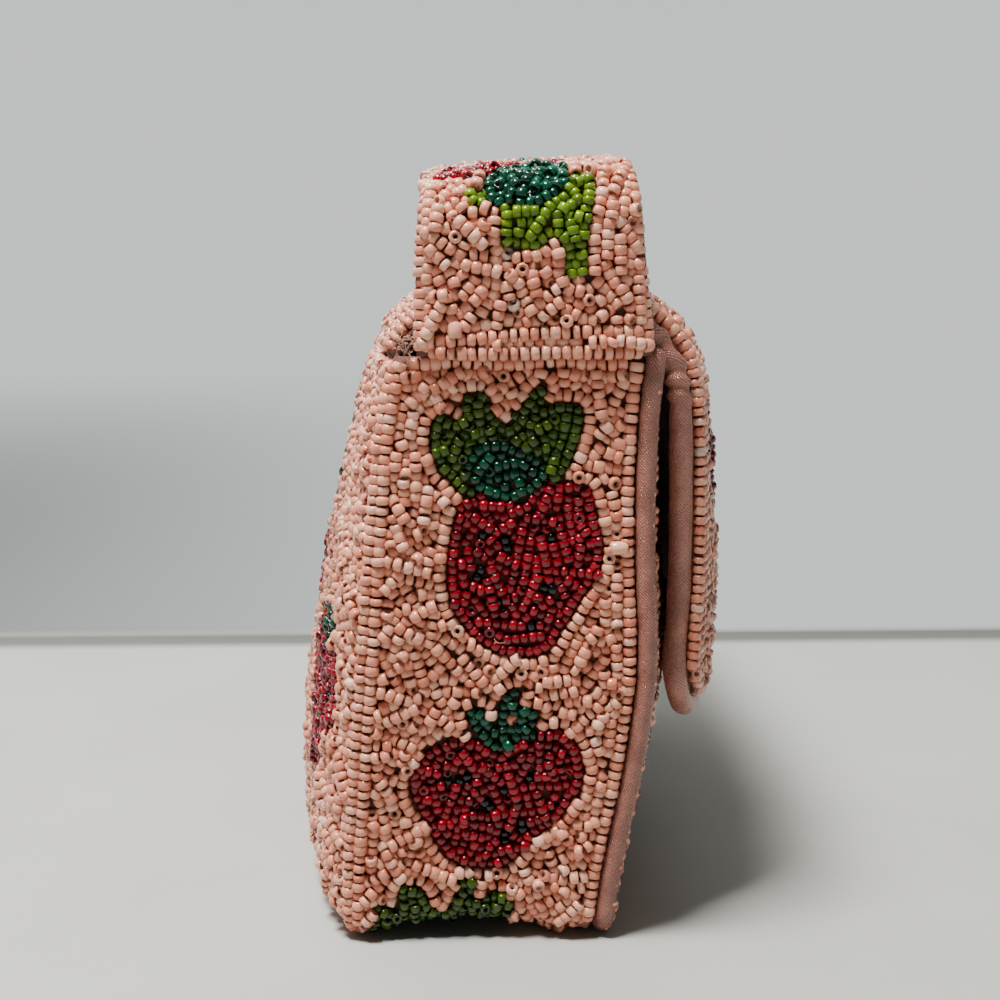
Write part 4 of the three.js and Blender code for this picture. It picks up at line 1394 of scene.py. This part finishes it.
# Flap
laid = layBeads("flap", 11)
covered = (laid["t"] > 22) & (laid["t"] < 60) & (np.abs(laid["s"]) < 88)
edgePart = (laid["s"] < -charts["flap"].widthAt(laid["t"]) / 2 + 14) & (laid["t"] > 40)
upper = laid["t"] <= 100
for label, part, shape in (
    ("edge", edgePart, "middle"),
    ("top", upper & ~covered & ~edgePart, "plain"),
    ("front", ~upper & ~edgePart, "plain"),
    ("covered", covered & ~edgePart, "hidden"),
):
    beadPiece("flap_beads_" + label, laid, part, shape, "flap")
cut = (200, 190)
liningDepth = flapWall + clearance
outer, inner = (thin(charts["flap"], depth, 60, 37) for depth in (clothDepth, flapWall))
clothPiece("flap_cloth", outer, inner, cut, "beaded_cloth", "flap")
outer, inner = (thin(charts["flap"], depth, 60, 37) for depth in (liningDepth, liningDepth + liningWall))
clothPiece("flap_lining_satin", outer, inner, cut, "lining", "flap_lining")

# Strap
laid = layBeads("strap", 13)
riser = laid["t"] < 62
shown = (laid["t"] < 262) | (laid["t"] > 590) | (np.abs(laid["s"]) > 24)
beadPiece("strap_beads_near", laid, riser, "fine", "strap")
beadPiece("strap_beads_top", laid, ~riser & shown, "plain", "strap")
beadPiece("strap_beads_folded", laid, ~riser & ~shown, "hidden", "strap")
flat = np.linspace(-half + 0.8, half - 0.8, 9)
outer, inner = (strapGrid([(a, h) for a in flat])[::2] for h in (-0.4, -2.4))
clothPiece("strap_cloth", outer, inner, (54, 650), "beaded_cloth", "strap")

print("beads set")


# Piping
def wobble(seed, x, y, scaleX, scaleY, octaves=3):
    rng = np.random.default_rng(seed)
    value = 0
    for k in range(octaves):
        for _ in range(3):
            a, b = rng.normal(0, 1) / scaleX * 2**k, rng.integers(-2, 3) * scaleY
            phase = rng.uniform(0, 6.28)
            value = value + np.sin(x * a * 6.28 + y * b + phase) / 2**k
    return value / 3


pipeRadius = 2.45
inset = 2.2
path, outline = gussetPath(inset), gussetPath(0)
kept = path[outline[:, 6] <= bagHeight - mouthDrop / 2]
outlineKept = outline[outline[:, 6] <= bagHeight - mouthDrop / 2]
pipeY = seamY("front", outlineKept[:, 5], outlineKept[:, 6]) - 0.1 - pipeRadius
middleLine = np.stack([kept[:, 0], pipeY, kept[:, 1]], 1)
top = middleLine[0] + np.array([(1.6, -0.7, 5), (0.5, -0.2, 2.5)])
line = evenly(np.concatenate([top, middleLine, (top * [-1, 1, 1])[::-1]]), 480)


def roundedEnds(a, radius):
    near = np.clip(np.minimum(a, a[-1, 0] - a) / radius, 0, 1)
    return np.sqrt(1 - (1 - near) ** 2 * 0.98)


def frontFolds(a, turn, line):
    return roundedEnds(a, 2.4) * (1 + 0.03 * wobble(1, a, turn, 9, 1) + 0.02 * wobble(2, a, turn, 3, 1))


cut = (lengths(line)[-1], 2 * np.pi * pipeRadius)
# A darker copy of the flap piping's satin: painted shade.
frontShadedRose = satinMaterial("front piping satin", *frontShadedRoseTones, cut)
frontPipe = tubePiece("front_piping_satin", line, pipeRadius, 14, [frontShadedRose], frontFolds)
settle(frontPipe, "satin", "front_piping")

flapChartGrid = flapGrid(111, 73)
across = np.gradient(flapChartGrid, axis=1)
along = np.gradient(flapChartGrid, axis=0)
normals = unit(np.cross(across, along))
if normals[100, 36, 1] > 0:
    normals = -normals
reach = 2 * clearance + flapPiping / 2
firstRow = 10
down = [(j, 0) for j in range(firstRow, 110)]
edgeIndex = np.array(down + [(110, i) for i in range(73)] + [(j, 72) for j, _ in reversed(down)])
onEdge = flapChartGrid[edgeIndex[:, 0], edgeIndex[:, 1]]
edgeNormal = normals[edgeIndex[:, 0], edgeIndex[:, 1]]
tangent = unit(np.gradient(onEdge, axis=0))
outward = unit(np.cross(tangent, edgeNormal))
sideSign = np.where(edgeIndex[:, 0] < 110, np.sign(edgeIndex[:, 1] - 36), 0)
flipped = np.where(sideSign != 0, outward[:, 0] * sideSign < 0, outward[:, 2] > 0)
outward[flipped] *= -1
line = onEdge + outward * (reach - 0.5) - edgeNormal * (liningDepth + liningWall - 0.8)
for _ in range(6):
    line[1:-1] = (line[:-2] + 2 * line[1:-1] + line[2:]) / 4
line = evenly(line, 640)


# The flap's piping is gathered where it turns down over the front.
def flapFolds(a, turn, line):
    x, y, z = (line[:, k][:, None] for k in range(3))
    gather = np.exp(-(((z - 144) / 11) ** 2)) * np.clip((-34 - y) / 8, 0, 1)
    ridge = np.sin(a * 1.15 + 2.1 * np.sin(turn + 0.4) + 1.6 * np.sin(a * 0.37))
    dents = 0.03 * wobble(4, a, turn, 12, 1) + 0.014 * wobble(5, a, turn, 3, 2)
    return roundedEnds(a, 2.9) * (1 + gather * (0.2 * ridge - 0.05) + dents)


cut = (lengths(line)[-1], np.pi * flapPiping)
flapRose = satinMaterial("flap piping satin", *flapRoseTones, cut)
flapPipe = tubePiece("flap_piping_satin", line, flapPiping / 2, 16, [flapRose], flapFolds)
settle(flapPipe, "satin", "flap_piping")


# Snap: turned discs with a stepped rim and a hub, their profile as pairs of radius and share of the thickness.
discProfile = [
    (8.6, 0), (9, 0.1), (9, 0.45), (8.7, 0.62), (7.6, 0.62), (7.4, 0.8), (6.6, 1), (5, 1), (4.2, 0.7), (0.1, 0.62),
]


def turned(node, material, slot, towards, sides=48):
    low, high = (np.array(v) * 1000 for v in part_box(node))
    x, _, z = (low + high) / 2
    back = low[1] if towards > 0 else high[1]
    turn = np.arange(sides) / sides * 2 * np.pi
    points = [
        (x + r * math.cos(a), back + towards * h * (high[1] - low[1]), z + r * math.sin(a))
        for r, h in discProfile
        for a in turn
    ]
    rings = len(discProfile)
    uv = np.stack([np.tile(turn / 6.29, rings), np.repeat(np.linspace(0, 1, rings), sides)], 1)
    faces = ringFaces(rings, sides, "capped")
    obj = meshPiece(node + "_disc", np.array(points) / 1000, faces, uv, [material], inMetres=True)
    faceOutward(obj.data)
    return settle(obj, slot, node)


turned("snap_stud", silver, "snap_silver", -1)
turned("snap_socket", gunmetal, "snap_dark", 1)


# Loose threads: a frayed tuft at the back end of the strap's foot and a few ends between the beads.
def threads():
    rng = np.random.default_rng(21)
    points, faces = [], []
    starts = []
    for _ in range(34):
        place = (-108.6, 12.8 + rng.normal(0, 1.2), 149.5 + rng.normal(0, 1.4))
        starts.append((place, rng.uniform(2.5, 5.5)))
    ends = ((-19, 153, 5), (-22, 151, 4), (-33, 141.5, 6), (-24, 149, 4), (-11, 78, 3.5), (-31, 87, 3.5))
    starts += [((-109.4, y, z), size) for y, z, size in ends]
    for (x, y, z), size in starts:
        steps = 9
        way = unit(np.array([-0.8, rng.normal(0, 0.9), rng.normal(0, 0.9)]))
        curl = rng.normal(0, 1, 3)
        p = np.array([x, y, z])
        line = [p]
        for k in range(steps):
            way = unit(way + 0.28 * np.cross(way, curl) + np.array([0.06 * k, 0, -0.05]))
            p = p + way * size / steps
            line.append(p)
        line = np.array(line)
        tangent = unit(np.gradient(line, axis=0))
        first = unit(np.cross(tangent, [0.2, 0.1, 1]))
        second = np.cross(tangent, first)
        base = len(points)
        for k in range(len(line)):
            for a in (0, 2.094, 4.189):
                points.append(line[k] + 0.085 * (math.cos(a) * first[k] + math.sin(a) * second[k]))
        faces += ringFaces(len(line), 3, "capped", base)
    uv = np.stack([np.linspace(0, 1, len(points)), np.tile([0, 0.5, 1], len(points) // 3)], 1)
    return meshPiece("loose_threads", np.array(points), faces, uv, [threadMaterial])


settle(threads(), "satin")
print("trims made")


# Floor and light. Past its far edge the table gives way to a glowing grey backdrop, with painted shade low down on
# the left.
def floorMaterial():
    material, nodes, shader, _, place = newMaterial("pale table")
    split = addNode(nodes, "ShaderNodeSeparateXYZ", Vector=place).outputs
    tableTones = [(0.3, linear(165, 165, 160)), (0.7, linear(172, 172, 166))]
    tint = ramp(nodes, noise(nodes, place, 14.0, 5.0), tableTones)
    # A soft dark band across the table near its far edge: painted shade along the edge.
    line = [(0, 1, 1), (0.43, 1, 1), (0.48, 0.3, 0.29), (0.53, 0.26, 0.25), (0.57, 0.7, 0.7), (1, 1, 1)]
    edgeShadeStops = [(at, (grey, grey, blue)) for at, grey, blue in line]
    edgeShade = ramp(nodes, spread(nodes, split["X"], (0.08, 0.28)), edgeShadeStops)
    setInputs(shader, Base_Color=mixed(nodes, "RGBA", 1, tint, edgeShade), Roughness=0.5, Specular_IOR_Level=0.2)
    # The backdrop glows, and it is darker low down on the left: painted shade.
    aside = spread(nodes, split["Y"], (-0.12, 0.4), kind="SMOOTHSTEP")
    near = spread(nodes, split["X"], (1.6, 0.3), kind="SMOOTHSTEP")
    shadeStops = [(0, backdropGrey), (1, tuple(0.42 * c for c in backdropGrey))]
    shade = worked(nodes, "MULTIPLY", aside, near)
    far = addNode(nodes, "ShaderNodeEmission", Color=ramp(nodes, shade, shadeStops))
    away = addNode(nodes, "ShaderNodeVectorMath", operation="LENGTH")
    nodes.id_data.links.new(place, away.inputs[0])
    around = spread(nodes, away.outputs["Value"], (0.7, 1.6), kind="SMOOTHSTEP")
    past = spread(nodes, split["X"], (0.185, 0.2), kind="SMOOTHSTEP")
    both = addNode(nodes, "ShaderNodeMixShader", Fac=worked(nodes, "MAXIMUM", around, past))
    for k, source in ((1, shader), (2, far)):
        nodes.id_data.links.new(source.outputs[0], both.inputs[k])
    setInputs(nodes["Material Output"], Surface=both.outputs[0])
    return material


backdropGrey = tuple(1.54 * c for c in linear(193, 198, 195))
bpy.ops.mesh.primitive_plane_add(size=40, location=(0, 0, 0))
floor = bpy.context.object
floor.name = "floor"
floor.data.materials.append(floorMaterial())

# The studio is brighter behind the bag than on the camera's side and at the flap's. Its horizon is even.
world = bpy.data.worlds.new("studio")
bpy.context.scene.world = world
world.use_nodes = True
nodes = world.node_tree.nodes
way = nodes.new("ShaderNodeTexCoord").outputs["Generated"]
split = addNode(nodes, "ShaderNodeSeparateXYZ", Vector=way).outputs
ahead = spread(nodes, split["X"], (-0.5, 0.85), 0.08, 0.95, "SMOOTHSTEP")
aside = spread(nodes, split["Y"], (-0.9, -0.35), 0.1, 1.0, "SMOOTHSTEP")
horizon = spread(nodes, split["Z"], (0.08, 0.22), kind="SMOOTHSTEP")
strength = mixed(nodes, "FLOAT", horizon, 1, worked(nodes, "MULTIPLY", ahead, aside))
setInputs(nodes["Background"], Color=(*backdropGrey, 1), Strength=strength)


def areaLight(name, place, target, size, power, colour):
    data = bpy.data.lights.new(name, "AREA")
    data.shape, data.size, data.size_y = "RECTANGLE", size[0], size[1]
    data.energy, data.color = power, colour
    light = bpy.data.objects.new(name, data)
    bpy.context.scene.collection.objects.link(light)
    light.location = place
    light.rotation_mode = "QUATERNION"
    light.rotation_quaternion = (Vector(target) - Vector(place)).to_track_quat("-Z", "Y")
    return light


areaLight("key", (-0.27, 0.27, 1.22), (0, 0, 0.08), (0.3, 0.3), 44, (1.0, 0.985, 0.96))
areaLight("rim", (0.9, 0.5, 0.8), (0, 0, 0.1), (0.6, 0.6), 5, (1.0, 1.0, 1.0))

print("done")
